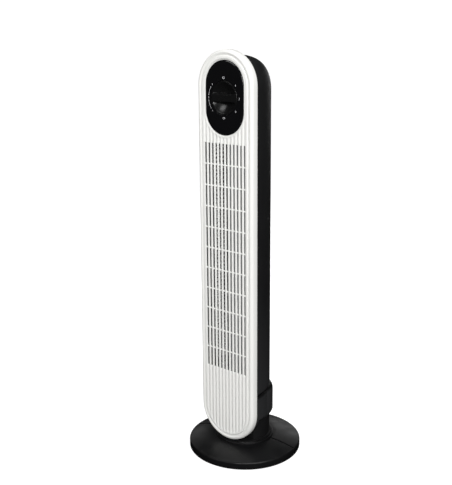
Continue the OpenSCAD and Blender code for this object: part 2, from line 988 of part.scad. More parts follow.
module motor_frame() {
    plate = 3;
    skirt_inner = 31;
    bearing_housing = 10;
    color("#a9acb0")
        at_impeller()
            difference() {
                union() {
                    disc(motor_shell_radius, motor_low - plate, motor_low);
                    ring(motor_shell_radius, skirt_inner, motor_low - 1, motor_low + motor_stack);
                    disc(motor_shell_radius, motor_high, motor_high + plate);
                    ring(motor_shell_radius, skirt_inner, motor_high - motor_stack, motor_high + 1);
                    disc(bearing_housing, motor_low - bearing_length - 1, motor_low - 2);
                    disc(bearing_housing, motor_high + 2, motor_high + bearing_length);
                }
                disc(bearing_radius, motor_low - bearing_length - 2, motor_high + bearing_length + cut);
                tie_places() screw_hole(motor_low - plate - cut, motor_high + plate + cut);
            }
}

module motor_bearings() {
    inner = shaft_radius + bush_clearance;
    color("#b58b4a")
        at_impeller() {
            ring(bearing_radius, inner, motor_low - bearing_length - 1, motor_low - 1);
            ring(bearing_radius, inner, motor_high + 1, motor_high + bearing_length);
        }
}

// A plate across the inside of the housing, as high as its thickness
module cross_plate(low, thickness) {
    intersection() {
        housing_plan(-wall - 0.4, low, low + thickness);
        block([-cross_half, 0.5 - seam_forward, low], [cross_half, 60, low + thickness]);
    }
}

module motor_bracket() {
    plate_low = duct_low - bracket_thickness;
    post = 4.2;
    opening = 20;
    color("#b3b6ba")
        difference() {
            union() {
                cross_plate(plate_low, bracket_thickness);
                at_impeller() tie_places() disc(post, motor_high + 3, plate_low + 1);
            }
            at_impeller() {
                disc(opening, plate_low - cut, duct_low + cut);
                tie_places() screw_hole(motor_high, duct_low + cut);
            }
        }
}

module bracket_screws() {
    head = 2.9;
    head_high = motor_low - 3;
    color("#b9bcc0")
        at_impeller()
            tie_places() {
                disc(screw_shank, head_high - 2, duct_low);
                disc(head, head_high - 2.6, head_high);
            }
}

module top_bearing_plate() {
    boss = 10;
    boss_high = duct_high + 9;
    color("#2a2a2c")
        difference() {
            union() {
                cross_plate(duct_high, bracket_thickness);
                at_impeller() disc(boss, duct_high, boss_high);
            }
            at_impeller() disc(bush_radius, duct_high - cut, boss_high + cut);
        }
}

module top_bush() {
    color("#b58b4a") at_impeller() ring(bush_radius, pin_radius + bush_clearance, duct_high, duct_high + 8);
}

// ---- electrical parts ----

module capacitor() {
    color("#e4e1d6") block([-48, -36, 118], [-36, -10, 150]);
}

module terminal_block() {
    half = [16, 6];
    entry = 2.2;
    color("#ece9de")
        difference() {
            block([-half[0], terminal_y - half[1], terminal_low],
                  [half[0], terminal_y + half[1], terminal_high]);
            for (i = [-1:1])
                translate([i * terminal_pitch, terminal_y, 0])
                    disc(entry, terminal_low + 2, terminal_high + cut);
        }
}

// A lead through its bends, each straight run carried on past its ends to meet the next
module lead(points) {
    for (i = [0:len(points) - 2]) {
        span = points[i + 1] - points[i];
        length = norm(span);
        translate(points[i])
            rotate([0, acos(span[2] / length), atan2(span[1], span[0])])
                translate([0, 0, -lead_radius])
                    cylinder(r = lead_radius, h = length + 2 * lead_radius, $fn = 24);
    }
}

module wiring_harness() {
    start = terminal_high + lead_radius + 1;
    side = -50;
    switch_lead = [[-12, terminal_y, start], [-30, 26, start + 3], [-45, 10, start + 12],
                   [side, -6, duct_low - 6], [side, -14, duct_high + 15], [-30, -9, duct_high + 50],
                   [-14, -7, knob_height - 10]];
    swing_lead = [[12, terminal_y, start], [12, crank_centre + 10, start], [12, crank_centre + 8, neck_top]];
    color("#d9d9d6") {
        lead(switch_lead);
        lead(swing_lead);
    }
}

module panel_screws() {
    color("#b9bcc0")
        screw_places() {
            forward_rod(screw_shank, 0, 0, post_back - 1, 52);
            forward_rod(screw_head, 0, 0, post_back - 2.6, post_back);
        }
}

module neck_screws() {
    floor_top = neck_top + wall;
    color("#b9bcc0")
        for (side = [-1, 1])
            translate([side * neck_screw_x, neck_screw_y, 0]) {
                disc(screw_shank, neck_top - 9, floor_top + 1);
                disc(screw_head, floor_top, floor_top + 2.4);
            }
}

base_front_half();
base_rear_half();
swivel_ring();
glide_ring();
swing_yoke();
base_screws();
rubber_feet();
neck();
retainer_ring();
swing_motor();
rear_housing();
lower_rear_cover();
cord_gland();
front_panel();
control_panel();
rotary_switch();
volute_wall();
outlet_backing();
outlet_fins();
motor_bracket();
motor_stator();
motor_windings();
motor_frame();
motor_bearings();
capacitor();
top_bearing_plate();
top_bush();
terminal_block();
wiring_harness();
panel_screws();
bracket_screws();
switch_screws();
neck_screws();
impeller_wheel();
impeller_hub();
top_pin();
motor_shaft();
motor_rotor();
control_knob();
switch_spindle();
swing_crank();
crank_pin();
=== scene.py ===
"""Looks of the oscillating tower fan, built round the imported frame. Metres; the front faces -Y."""

import json
import math

import bmesh
import bpy
from mathutils import Matrix, Vector


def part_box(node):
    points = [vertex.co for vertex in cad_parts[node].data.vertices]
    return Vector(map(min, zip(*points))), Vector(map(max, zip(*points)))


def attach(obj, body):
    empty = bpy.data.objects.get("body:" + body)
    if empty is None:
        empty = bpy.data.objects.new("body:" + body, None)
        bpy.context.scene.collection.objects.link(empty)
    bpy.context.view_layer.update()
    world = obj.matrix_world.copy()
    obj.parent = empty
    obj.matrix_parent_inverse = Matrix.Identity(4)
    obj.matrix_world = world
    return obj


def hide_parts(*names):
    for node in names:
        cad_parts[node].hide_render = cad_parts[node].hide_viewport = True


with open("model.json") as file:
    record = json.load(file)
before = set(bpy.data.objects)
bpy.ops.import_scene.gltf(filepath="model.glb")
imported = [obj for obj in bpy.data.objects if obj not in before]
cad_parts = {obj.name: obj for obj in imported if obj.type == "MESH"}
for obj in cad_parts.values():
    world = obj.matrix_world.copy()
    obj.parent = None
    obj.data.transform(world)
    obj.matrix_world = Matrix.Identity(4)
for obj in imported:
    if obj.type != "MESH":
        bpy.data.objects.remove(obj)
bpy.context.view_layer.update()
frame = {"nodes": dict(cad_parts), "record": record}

MM = 0.001
scene = bpy.context.scene


# ---- driving sizes, from the frame ----

PANEL_LOW, PANEL_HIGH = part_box("front_panel")
HALF_PANEL = PANEL_HIGH.x
FACE = -PANEL_LOW.y  # forward distance of the panel's face
SEAM = 42 * MM  # forward distance of the seam between panel and housing
PANEL_BOTTOM = PANEL_LOW.z
PANEL_TOP = PANEL_HIGH.z
PANEL_CENTRES = (PANEL_BOTTOM + HALF_PANEL, PANEL_TOP - HALF_PANEL)

FIELD_HALF = HALF_PANEL - 12 * MM
PLATE = 4.5 * MM
COLUMNS = 12
ROWS = 11
COLUMN_PITCH = 8.57 * MM
ROW_PITCH = 41.3 * MM
GRILLE_TOP = 637 * MM
SLOT_HALF = 2.2 * MM
SLOT_GAP = 2.8 * MM
SLOT_LIP = 0.45 * MM
SLOT_DEPTH = 2.6 * MM
FLUTE_DEPTH = 1.35 * MM
FLUTES_HALF = COLUMNS / 2 * COLUMN_PITCH

CONTROL_LOW, CONTROL_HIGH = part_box("control_panel")
CONTROL_HALF = CONTROL_HIGH.x
CONTROL_CENTRES = (CONTROL_LOW.z + CONTROL_HALF, CONTROL_HIGH.z - CONTROL_HALF)
CONTROL_FACE = -CONTROL_LOW.y
CONTROL_BACK = -CONTROL_HIGH.y
RECESS_LIP = 2.6 * MM
RECESS_HALF = CONTROL_HALF + RECESS_LIP

KNOB_LOW, KNOB_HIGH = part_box("control_knob")
KNOB_RADIUS = KNOB_HIGH.x
KNOB_HEIGHT = (KNOB_LOW.z + KNOB_HIGH.z) / 2
KNOB_FACE = -KNOB_LOW.y
KNOB_GAP = 0.6 * MM

HOUSING_LOW, HOUSING_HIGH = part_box("rear_housing")
HALF_HOUSING = HOUSING_HIGH.x
HOUSING_BACK = HOUSING_HIGH.y
HOUSING_TOP = HOUSING_HIGH.z
HOUSING_BOTTOM = HOUSING_LOW.z
HOUSING_FRONT = -SEAM + 0.05 * MM
HOUSING_DEPTH = HOUSING_BACK - HOUSING_FRONT
SIDE_ARC = 130 * MM
SIDE_CENTRE = SIDE_ARC - HALF_HOUSING
BACK_ARC = 52.33 * MM
BACK_CENTRE = HOUSING_DEPTH - BACK_ARC  # behind the seam plane
ARC_JOIN = 68.8 * MM  # depth behind the seam plane where the side arcs give way to the round back
ROOF_START = HOUSING_TOP - HALF_HOUSING
ROOF_RISE_FRONT = HALF_HOUSING
WALL = 2.5 * MM

NECK_LOW, NECK_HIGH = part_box("neck")
NECK_TOP = NECK_HIGH.z
NECK_RADIUS = 51.5 * MM
NECK_FLAT = 27.9 * MM

COVER_LOW = NECK_TOP + WALL + 0.2 * MM
COVER_HIGH = 133.5 * MM

BASE_LOW, BASE_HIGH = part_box("base_front_half")
BASE_RADIUS = 114.96 * MM
BASE_TURN = math.radians(11)


# ---- mesh helpers ----


def smooth_step(t):
    t = min(max(t, 0.0), 1.0)
    return t * t * (3 - 2 * t)


def arc(centre, radius, start, stop, steps):
    """Points of an arc in the plane, angles in degrees."""
    points = []
    for i in range(steps + 1):
        a = math.radians(start + (stop - start) * i / steps)
        points.append((centre[0] + radius * math.cos(a), centre[1] + radius * math.sin(a)))
    return points


def weld(front, back, faces):
    """Joins the front points that coincide, and their back points with them."""
    kept = {}
    remap = []
    new_front = []
    new_back = []
    for point, behind in zip(front, back):
        key = tuple(round(c, 7) for c in point)
        if key not in kept:
            kept[key] = len(new_front)
            new_front.append(point)
            new_back.append(behind)
        remap.append(kept[key])
    new_faces = []
    for face in faces:
        ring = []
        for index in face:
            if not ring or ring[-1] != remap[index]:
                ring.append(remap[index])
        if len(ring) > 1 and ring[0] == ring[-1]:
            ring.pop()
        if len(ring) > 2:
            new_faces.append(tuple(ring))
    return new_front, new_back, new_faces


def open_edges(faces):
    edges = set()
    for face in faces:
        for a, b in zip(face, face[1:] + face[:1]):
            edges.add((a, b))
    return sorted((a, b) for a, b in edges if (b, a) not in edges)


def thicken(front, back, faces, skip=()):
    """A closed solid from a sheet: its front, its back and a wall along every open edge."""
    count = len(front)
    skipped = set(skip)
    walls = [(b, a, a + count, b + count) for a, b in open_edges(faces) if (a, b) not in skipped]
    behind = [tuple(i + count for i in reversed(face)) for face in faces]
    return front + back, faces + behind + walls


def grid_faces(columns, rows, keep=None):
    """Quads between points numbered column by column."""
    faces = []
    for c in range(columns - 1):
        for r in range(rows - 1):
            if keep is None or keep(c, r):
                a = c * rows + r
                faces.append((a, a + rows, a + rows + 1, a + 1))
    return faces


def make_piece(name, verts, faces, body, material, smooth=32):
    mesh = bpy.data.meshes.new(name)
    mesh.from_pydata([tuple(v) for v in verts], [], faces)
    bm = bmesh.new()
    bm.from_mesh(mesh)
    bmesh.ops.remove_doubles(bm, verts=bm.verts, dist=1e-6)
    bmesh.ops.dissolve_degenerate(bm, edges=bm.edges, dist=1e-7)
    bmesh.ops.recalc_face_normals(bm, faces=bm.faces)
    bm.to_mesh(mesh)
    bm.free()
    mesh.shade_smooth()
    mesh.set_sharp_from_angle(angle=math.radians(smooth))
    obj = bpy.data.objects.new(name, mesh)
    scene.collection.objects.link(obj)
    mesh.materials.append(material)
    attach(obj, body)
    return obj


def loft(rings, closed=True, caps=True):
    """Quads between rings of equal length, with flat ends."""
    count = len(rings[0])
    verts = [p for ring in rings for p in ring]
    faces = []
    last = count if closed else count - 1
    for k in range(len(rings) - 1):
        for i in range(last):
            j = (i + 1) % count
            faces.append((k * count + i, k * count + j, (k + 1) * count + j, (k + 1) * count + i))
    if caps:
        faces.append(tuple(reversed(range(count))))
        faces.append(tuple(range((len(rings) - 1) * count, len(rings) * count)))
    return verts, faces


def revolve(profile, centre, segments, axis="Z", closed=True):
    """A profile of (radius, along) points turned about an axis. With closed, the profile is a loop."""
    rings = []
    for radius, along in profile:
        ring = []
        for i in range(segments):
            a = 2 * math.pi * i / segments
            u = radius * math.cos(a)
            v = radius * math.sin(a)
            if axis == "Z":
                ring.append((centre[0] + u, centre[1] + v, along))
            else:
                ring.append((centre[0] + u, along, centre[1] + v))
        rings.append(ring)
    if closed:
        rings.append(rings[0])
    return loft(rings, closed=True, caps=False)


def joined(*parts):
    verts = []
    faces = []
    for part_verts, part_faces in parts:
        start = len(verts)
        verts += part_verts
        faces += [tuple(i + start for i in face) for face in part_faces]
    return verts, faces


def stadium(half, centres, corner_steps, straight_steps):
    """(x, z, unit x, unit z) round a stadium, from its right side up over the top."""
    low, high = centres
    points = []
    for i in range(corner_steps + 1):
        a = math.pi * i / corner_steps
        points.append((half * math.cos(a), high + half * math.sin(a), math.cos(a), math.sin(a)))
    for i in range(1, straight_steps):
        z = high + (low - high) * i / straight_steps
        points.append((-half, z, -1.0, 0.0))
    for i in range(corner_steps + 1):
        a = math.pi + math.pi * i / corner_steps
        points.append((half * math.cos(a), low + half * math.sin(a), math.cos(a), math.sin(a)))
    for i in range(1, straight_steps):
        z = low + (high - low) * i / straight_steps
        points.append((half, z, 1.0, 0.0))
    return points


def stadium_rings(profile, centres, corner_steps=48, straight_steps=12):
    """One ring of points for each (half width, forward) of the profile."""
    return [
        [(x, -forward, z) for x, z, _, _ in stadium(half, centres, corner_steps, straight_steps)]
        for half, forward in profile
    ]


# ---- materials ----


class Nodes:
    """A material's node tree with short calls for the nodes used here."""

    def __init__(self, name):
        self.material = bpy.data.materials.new(name)
        self.material.use_nodes = True
        self.tree = self.material.node_tree
        self.shader = self.tree.nodes["Principled BSDF"]
        self.place = self.tree.nodes.new("ShaderNodeTexCoord").outputs["Object"]

    def link(self, a, b):
        self.tree.links.new(a, b)

    def stretched(self, scale):
        node = self.tree.nodes.new("ShaderNodeMapping")
        node.inputs["Scale"].default_value = scale
        self.link(self.place, node.inputs["Vector"])
        return node.outputs["Vector"]

    def noise(self, scale, detail=3.0, rough=0.5, place=None):
        node = self.tree.nodes.new("ShaderNodeTexNoise")
        node.inputs["Scale"].default_value = scale
        node.inputs["Detail"].default_value = detail
        node.inputs["Roughness"].default_value = rough
        self.link(place or self.place, node.inputs["Vector"])
        return node.outputs["Fac"]

    def cells(self, scale):
        node = self.tree.nodes.new("ShaderNodeTexVoronoi")
        node.inputs["Scale"].default_value = scale
        self.link(self.place, node.inputs["Vector"])
        return node.outputs["Distance"]

    def ranged(self, value, low, high, start=0.3, stop=0.7):
        node = self.tree.nodes.new("ShaderNodeMapRange")
        node.inputs["From Min"].default_value = start
        node.inputs["From Max"].default_value = stop
        node.inputs["To Min"].default_value = low
        node.inputs["To Max"].default_value = high
        self.link(value, node.inputs["Value"])
        return node.outputs["Result"]

    def height(self):
        node = self.tree.nodes.new("ShaderNodeSeparateXYZ")
        self.link(self.place, node.inputs["Vector"])
        return node.outputs["Z"]

    def apart(self, value, other):
        """How far a value is from a fixed one."""
        away = self.tree.nodes.new("ShaderNodeMath")
        away.operation = "SUBTRACT"
        self.link(value, away.inputs[0])
        away.inputs[1].default_value = other
        size = self.tree.nodes.new("ShaderNodeMath")
        size.operation = "ABSOLUTE"
        self.link(away.outputs["Value"], size.inputs[0])
        return size.outputs["Value"]

    def blend(self, factor, first, second):
        """A mix of two colours, each a tuple or another node's output."""
        node = self.tree.nodes.new("ShaderNodeMix")
        node.data_type = "RGBA"
        for name, colour in (("A", first), ("B", second)):
            if isinstance(colour, tuple):
                socket = next(s for s in node.inputs if s.name == name and s.type == "RGBA")
                socket.default_value = (*colour, 1)
            else:
                socket = next(s for s in node.inputs if s.name == name and s.type == "RGBA")
                self.link(colour, socket)
        self.link(factor, node.inputs["Factor"])
        return next(s for s in node.outputs if s.name == "Result" and s.type == "RGBA")

    def bump(self, height, distance, strength=1.0, before=None):
        node = self.tree.nodes.new("ShaderNodeBump")
        node.inputs["Strength"].default_value = strength
        node.inputs["Distance"].default_value = distance
        self.link(height, node.inputs["Height"])
        if before is not None:
            self.link(before, node.inputs["Normal"])
        return node.outputs["Normal"]


def moulded(name, colour, rough, grain=2200, grain_depth=0.02, drift=0.12, specular=0.5, coat=0.0,
            rough_drift=0.08, painted_bounce_colour=None):
    """Moulded plastic: fine spark-eroded grain, slow sink marks, uneven gloss and slightly uneven colour.

    With a low-down colour the plastic is painted greyer towards the floor (painted bounce light), and painted shade
    darkens the seam groove.
    """
    n = Nodes(name)
    slow = n.noise(9, 2.0)
    fine = n.noise(grain, 2.0, 0.6)
    smudge = n.noise(38, 4.0, 0.62)
    darker = tuple(c * (1 - drift) for c in colour)
    lighter = tuple(min(c * (1 + drift), 0.95) for c in colour)
    shade = n.blend(n.ranged(slow, 0.0, 1.0), darker, lighter)
    if painted_bounce_colour is not None:
        # painted light: greyer low down, standing in for light bounced up off the floor
        painted_bounce = n.blend(n.ranged(n.height(), 1.0, 0.0, 0.10, 0.34), shade, painted_bounce_colour)
        # painted shade: near-black band in the groove between housing and lower cover
        from_groove = n.apart(n.height(), COVER_HIGH + 2 * MM)
        shade = n.blend(n.ranged(from_groove, 1.0, 0.0, 1.5 * MM, 7 * MM), painted_bounce, (0.002, 0.002, 0.002))
    n.link(shade, n.shader.inputs["Base Color"])
    n.link(n.ranged(smudge, rough - rough_drift, rough + rough_drift), n.shader.inputs["Roughness"])
    sink = n.bump(slow, 0.12 * MM)
    n.link(n.bump(fine, grain_depth * MM, before=sink), n.shader.inputs["Normal"])
    n.shader.inputs["Specular IOR Level"].default_value = specular
    n.shader.inputs["Coat Weight"].default_value = coat
    n.shader.inputs["Coat Roughness"].default_value = 0.05
    return n.material


def metal(name, colour, rough, brush=(1, 1, 40), drift=0.1):
    """Metal with fine stretched scratches and cloudy tarnish."""
    n = Nodes(name)
    scratches = n.noise(900, 3.0, 0.6, n.stretched(brush))
    clouds = n.noise(60, 3.0)
    darker = tuple(c * (1 - drift * 2) for c in colour)
    n.link(n.blend(n.ranged(clouds, 0.0, 1.0), darker, colour), n.shader.inputs["Base Color"])
    n.link(n.ranged(scratches, rough - 0.1, rough + 0.12), n.shader.inputs["Roughness"])
    n.link(n.bump(scratches, 0.02 * MM), n.shader.inputs["Normal"])
    n.shader.inputs["Metallic"].default_value = 1.0
    return n.material


def windings(name):
    """Enamelled copper wire, laid in fine turns, painted darker in the grooves between turns as painted shade."""
    n = Nodes(name)
    wave = n.tree.nodes.new("ShaderNodeTexWave")
    wave.bands_direction = "Z"
    wave.inputs["Scale"].default_value = 900
    wave.inputs["Distortion"].default_value = 1.5
    n.link(n.place, wave.inputs["Vector"])
    turns = wave.outputs["Fac"]
    # partly painted shade: the grooves between turns are painted darker copper, matching the bump
    n.link(n.blend(turns, (0.28, 0.09, 0.03), (0.62, 0.27, 0.11)), n.shader.inputs["Base Color"])
    n.link(n.ranged(turns, 0.42, 0.25, 0.0, 1.0), n.shader.inputs["Roughness"])
    n.link(n.bump(turns, 0.15 * MM), n.shader.inputs["Normal"])
    n.shader.inputs["Metallic"].default_value = 0.85
    return n.material


def printed(name):
    """Pad-printed white ink."""
    n = Nodes(name)
    patchy = n.noise(1500, 3.0)
    n.link(n.blend(n.ranged(patchy, 0.0, 1.0), (0.52, 0.52, 0.54), (0.72, 0.72, 0.74)),
           n.shader.inputs["Base Color"])
    n.link(n.ranged(patchy, 0.45, 0.6), n.shader.inputs["Roughness"])
    n.link(n.bump(patchy, 0.01 * MM), n.shader.inputs["Normal"])
    return n.material


MATERIALS = {
    "panel_white": moulded("panel_white", (0.80, 0.80, 0.775), 0.42, grain=1500, grain_depth=0.006, drift=0.012),
    # painted greyer low down for floor bounce light, with painted shade in the cover seam groove
    "housing_black": moulded("housing_black", (0.0098, 0.0098, 0.0103), 0.5, grain=2600, grain_depth=0.03,
                             specular=0.3, painted_bounce_colour=(0.024, 0.0245, 0.0258)),
    "neck_black": moulded("neck_black", (0.0075, 0.0075, 0.008), 0.5, grain=2600, grain_depth=0.03,
                          specular=0.2),
    "base_black": moulded("base_black", (0.0052, 0.0052, 0.0056), 0.36, grain=2200, grain_depth=0.012,
                          specular=0.27),
    "control_gloss": moulded("control_gloss", (0.004, 0.004, 0.0045), 0.1, grain=900, grain_depth=0.001,
                             specular=0.4, rough_drift=0.04),
    "knob_black": moulded("knob_black", (0.005, 0.005, 0.0052), 0.26, grain=2400, grain_depth=0.006,
                          specular=0.45),
    "inner_dark": moulded("inner_dark", (0.022, 0.022, 0.024), 0.6, grain=1800),
    "inner_grey": moulded("inner_grey", (0.22, 0.225, 0.23), 0.62, grain=1800, drift=0.08),
    "fin_white": moulded("fin_white", (0.88, 0.88, 0.86), 0.5, grain=1800, drift=0.03),
    "impeller_black": moulded("impeller_black", (0.010, 0.010, 0.011), 0.42, grain=2000),
    "acetal_white": moulded("acetal_white", (0.78, 0.77, 0.71), 0.4, grain=1600, drift=0.03),
    "electric_cream": moulded("electric_cream", (0.66, 0.63, 0.54), 0.5, grain=1500, drift=0.05),
    "wire_sleeve": moulded("wire_sleeve", (0.55, 0.55, 0.53), 0.45, grain=1200, drift=0.06),
    "foot_rubber": moulded("foot_rubber", (0.018, 0.018, 0.018), 0.78, grain=1400, grain_depth=0.05,
                           specular=0.3),
    "bracket_steel": metal("bracket_steel", (0.60, 0.61, 0.63), 0.38, (1, 1, 30)),
    "screw_steel": metal("screw_steel", (0.64, 0.65, 0.67), 0.3, (1, 1, 12)),
    "motor_steel": metal("motor_steel", (0.42, 0.43, 0.45), 0.45, (1, 1, 60)),
    "winding_copper": windings("winding_copper"),
    "cast_alloy": metal("cast_alloy", (0.55, 0.56, 0.58), 0.55, (4, 4, 4)),
    "bearing_bronze": metal("bearing_bronze", (0.56, 0.37, 0.16), 0.35, (1, 1, 20)),
}
PRINT = printed("dial_print")


def paint_frame():
    """Every CAD node takes the material of its slot."""
    for part in frame["record"]["subparts"]:
        mesh = frame["nodes"][part["node"]].data
        mesh.materials.clear()
        mesh.materials.append(MATERIALS[part["material_slot"]])
        mesh.shade_smooth()
        mesh.set_sharp_from_angle(angle=math.radians(30))


# ---- front panel ----


def spine_distance(x, z, centres):
    """Distance of a point from the line between two centres."""
    return math.hypot(x, z - min(max(z, centres[0]), centres[1]))


def moved_out(x, z, centres, distance):
    """The point at a set distance from the line between two centres, in the direction of (x, z)."""
    near = min(max(z, centres[0]), centres[1])
    scale = distance / math.hypot(x, z - near)
    return x * scale, near + (z - near) * scale


RECESS_CENTRES = CONTROL_CENTRES


def column_positions():
    """Grid lines across the field: flute crests, slot edges, and a fine run at each rounded outline."""
    across = set()
    for column in range(COLUMNS):
        centre = (column - (COLUMNS - 1) / 2) * COLUMN_PITCH
        for offset in (0, 1.1 * MM, SLOT_HALF, SLOT_HALF + SLOT_LIP, 3.4 * MM, COLUMN_PITCH / 2):
            across.add(round(centre + offset, 7))
            across.add(round(centre - offset, 7))
    for half in (FIELD_HALF, RECESS_HALF):
        for degrees in range(0, 91, 3):
            across.add(round(half * math.cos(math.radians(degrees)), 7))
            across.add(round(-half * math.cos(math.radians(degrees)), 7))
    across.update((-FIELD_HALF + 0.4 * MM, FIELD_HALF - 0.4 * MM))
    lines = sorted(across)
    return [x for i, x in enumerate(lines) if i == 0 or x - lines[i - 1] > 2e-5]


def end_height(x, half):
    return math.sqrt(max(half * half - x * x, 0.0))


def field_rows(x):
    """Heights of the grid's rows at one column, from the bottom outline to the top one."""
    low = PANEL_CENTRES[0] - end_height(x, FIELD_HALF)
    high = PANEL_CENTRES[1] + end_height(x, FIELD_HALF)
    grille_low = GRILLE_TOP - ROWS * ROW_PITCH
    rows = []
    steps = (0, 0.008, 0.02, 0.035, 0.05, 0.07, 0.1, 0.16, 0.3, 0.45, 0.6, 0.75, 0.9, 0.97)
    for t in steps:
        rows.append(low + (grille_low - low) * t)
    for row in range(ROWS):
        bottom = grille_low + row * ROW_PITCH + SLOT_GAP / 2
        top = bottom + ROW_PITCH - SLOT_GAP
        rows += [bottom - SLOT_LIP, bottom, (bottom + top) / 2, top, top + SLOT_LIP]
    start = GRILLE_TOP + 1.5 * MM
    inside = min(abs(x), RECESS_HALF)
    recess_low = RECESS_CENTRES[0] - end_height(inside, RECESS_HALF)
    recess_high = RECESS_CENTRES[1] + end_height(inside, RECESS_HALF)
    if abs(x) > RECESS_HALF:
        share = (abs(x) - RECESS_HALF) / (FIELD_HALF - RECESS_HALF)
        recess_high += (PANEL_CENTRES[1] - recess_high) * share
    for t in (0, 0.2, 0.4, 0.6, 0.75, 0.87, 0.95, 1.0):
        rows.append(start + (recess_low - start) * t)
    for t in (0.25, 0.5, 0.75, 1.0):
        rows.append(recess_low + (recess_high - recess_low) * t)
    for t in (0.2, 0.4, 0.6, 0.8, 1.0):
        rows.append(recess_high + (high - recess_high) * t)
    return rows


FIRST_SLOT_ROW = 14
RECESS_ROW = FIRST_SLOT_ROW + 5 * ROWS + 7


def field_forward(x, z, at_slot_edge):
    """Forward distance of the fluted field at a point."""
    edge = FIELD_HALF - spine_distance(x, z, PANEL_CENTRES)
    recess = spine_distance(x, z, RECESS_CENTRES) - RECESS_HALF
    fade = smooth_step((edge - 2.2 * MM) / (3.5 * MM)) * smooth_step((recess - 0.8 * MM) / (2.5 * MM))
    flute = 0.0
    if abs(x) < FLUTES_HALF:
        flute = 0.5 - 0.5 * math.cos(2 * math.pi * (x / COLUMN_PITCH))
    depth = FLUTE_DEPTH * flute * fade
    if at_slot_edge:
        depth += 0.25 * MM
    if edge < 0.1 * MM:
        depth += 0.18 * MM
    return FACE - depth


def front_panel():
    columns = column_positions()
    row_count = len(field_rows(0.0))
    slot_centres = [(c - (COLUMNS - 1) / 2) * COLUMN_PITCH for c in range(COLUMNS)]

    def slot_columns(x):
        return any(abs(x - centre) < SLOT_HALF + 1e-6 for centre in slot_centres)

    def slot_rows(row):
        if not FIRST_SLOT_ROW <= row < FIRST_SLOT_ROW + 5 * ROWS:
            return False
        return (row - FIRST_SLOT_ROW) % 5 in (1, 2, 3)

    front = []
    back = []
    for x in columns:
        for row, z in enumerate(field_rows(x)):
            edge = slot_columns(x) and slot_rows(row)
            front.append((x, -field_forward(x, z, edge), z))
            grille = abs(x) < FLUTES_HALF and FIRST_SLOT_ROW <= row < FIRST_SLOT_ROW + 5 * ROWS
            back.append((x, -(FACE - (SLOT_DEPTH if grille else PLATE)), z))

    def keep(c, r):
        if slot_columns((columns[c] + columns[c + 1]) / 2) and slot_rows(r) and slot_rows(r + 1):
            return False
        inside = max(abs(columns[c]), abs(columns[c + 1])) <= RECESS_HALF + 1e-7
        return not (inside and RECESS_ROW <= r < RECESS_ROW + 4)

    faces = grid_faces(len(columns), row_count, keep)
    front, back, faces = weld(front, back, faces)

    outer = []
    recess = []
    for a, b in open_edges(faces):
        field = [abs(spine_distance(front[i][0], front[i][2], PANEL_CENTRES) - FIELD_HALF) for i in (a, b)]
        inner = [abs(spine_distance(front[i][0], front[i][2], RECESS_CENTRES) - RECESS_HALF) for i in (a, b)]
        if max(field) < 2e-6:
            outer.append((a, b))
        elif max(inner) < 2e-6:
            recess.append((a, b))
    verts, faces = thicken(front, back, faces, skip=outer + recess)

    def sweep(edges, centres, profile):
        previous = {i: i for edge in edges for i in edge}
        for distance, forward in profile:
            ring = {}
            for i in previous:
                x, z = moved_out(verts[i][0], verts[i][2], centres, distance)
                ring[i] = len(verts)
                verts.append((x, -forward, z))
            for a, b in edges:
                faces.append((previous[b], previous[a], ring[a], ring[b]))
            previous = ring

    channel = FACE - 2.0 * MM
    crest = HALF_PANEL - 6 * MM
    edge_arc = arc((crest, FACE - 6 * MM), 6 * MM, 90, 0, 9)
    rim = [(FIELD_HALF + d * MM, FACE - f * MM) for d, f in ((0.25, 0.5), (0.4, 1.1), (0.6, 1.6), (0.95, 1.9))]
    rim += [(FIELD_HALF + 1.5 * MM, channel), (FIELD_HALF + 2.3 * MM, channel + 0.1 * MM)]
    rim += [(FIELD_HALF + d * MM, FACE - f * MM) for d, f in ((3.4, 1.45), (4.5, 0.8), (5.3, 0.3))]
    rim += edge_arc
    rim += [
        (HALF_PANEL, SEAM + 0.5 * MM),
        (HALF_PANEL - 0.15 * MM, SEAM + 0.15 * MM),
        (HALF_PANEL - 0.5 * MM, SEAM),
        (HALF_PANEL - WALL, SEAM),
        (HALF_PANEL - WALL, FACE - PLATE - 2 * MM),
        (HALF_PANEL - WALL - 3 * MM, FACE - PLATE),
        (FIELD_HALF, FACE - PLATE),
    ]
    sweep(outer, PANEL_CENTRES, rim)

    seat = CONTROL_BACK
    lip = [
        (RECESS_HALF - 0.15 * MM, FACE - 0.1 * MM),
        (RECESS_HALF - 0.35 * MM, FACE - 0.45 * MM),
        (RECESS_HALF - 0.55 * MM, FACE - 1.0 * MM),
        (RECESS_HALF - 0.85 * MM, FACE - 1.25 * MM),
        (CONTROL_HALF + 0.5 * MM, FACE - 1.4 * MM),
        (CONTROL_HALF + 0.3 * MM, FACE - 1.7 * MM),
        (CONTROL_HALF + 0.2 * MM, seat),
        (CONTROL_HALF - 8 * MM, seat),
        (CONTROL_HALF - 8 * MM, FACE - PLATE),
        (RECESS_HALF, FACE - PLATE),
    ]
    sweep(recess, RECESS_CENTRES, lip)
    piece = make_piece("panel_shell", verts, faces, "tower", MATERIALS["panel_white"], smooth=40)
    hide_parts("front_panel")


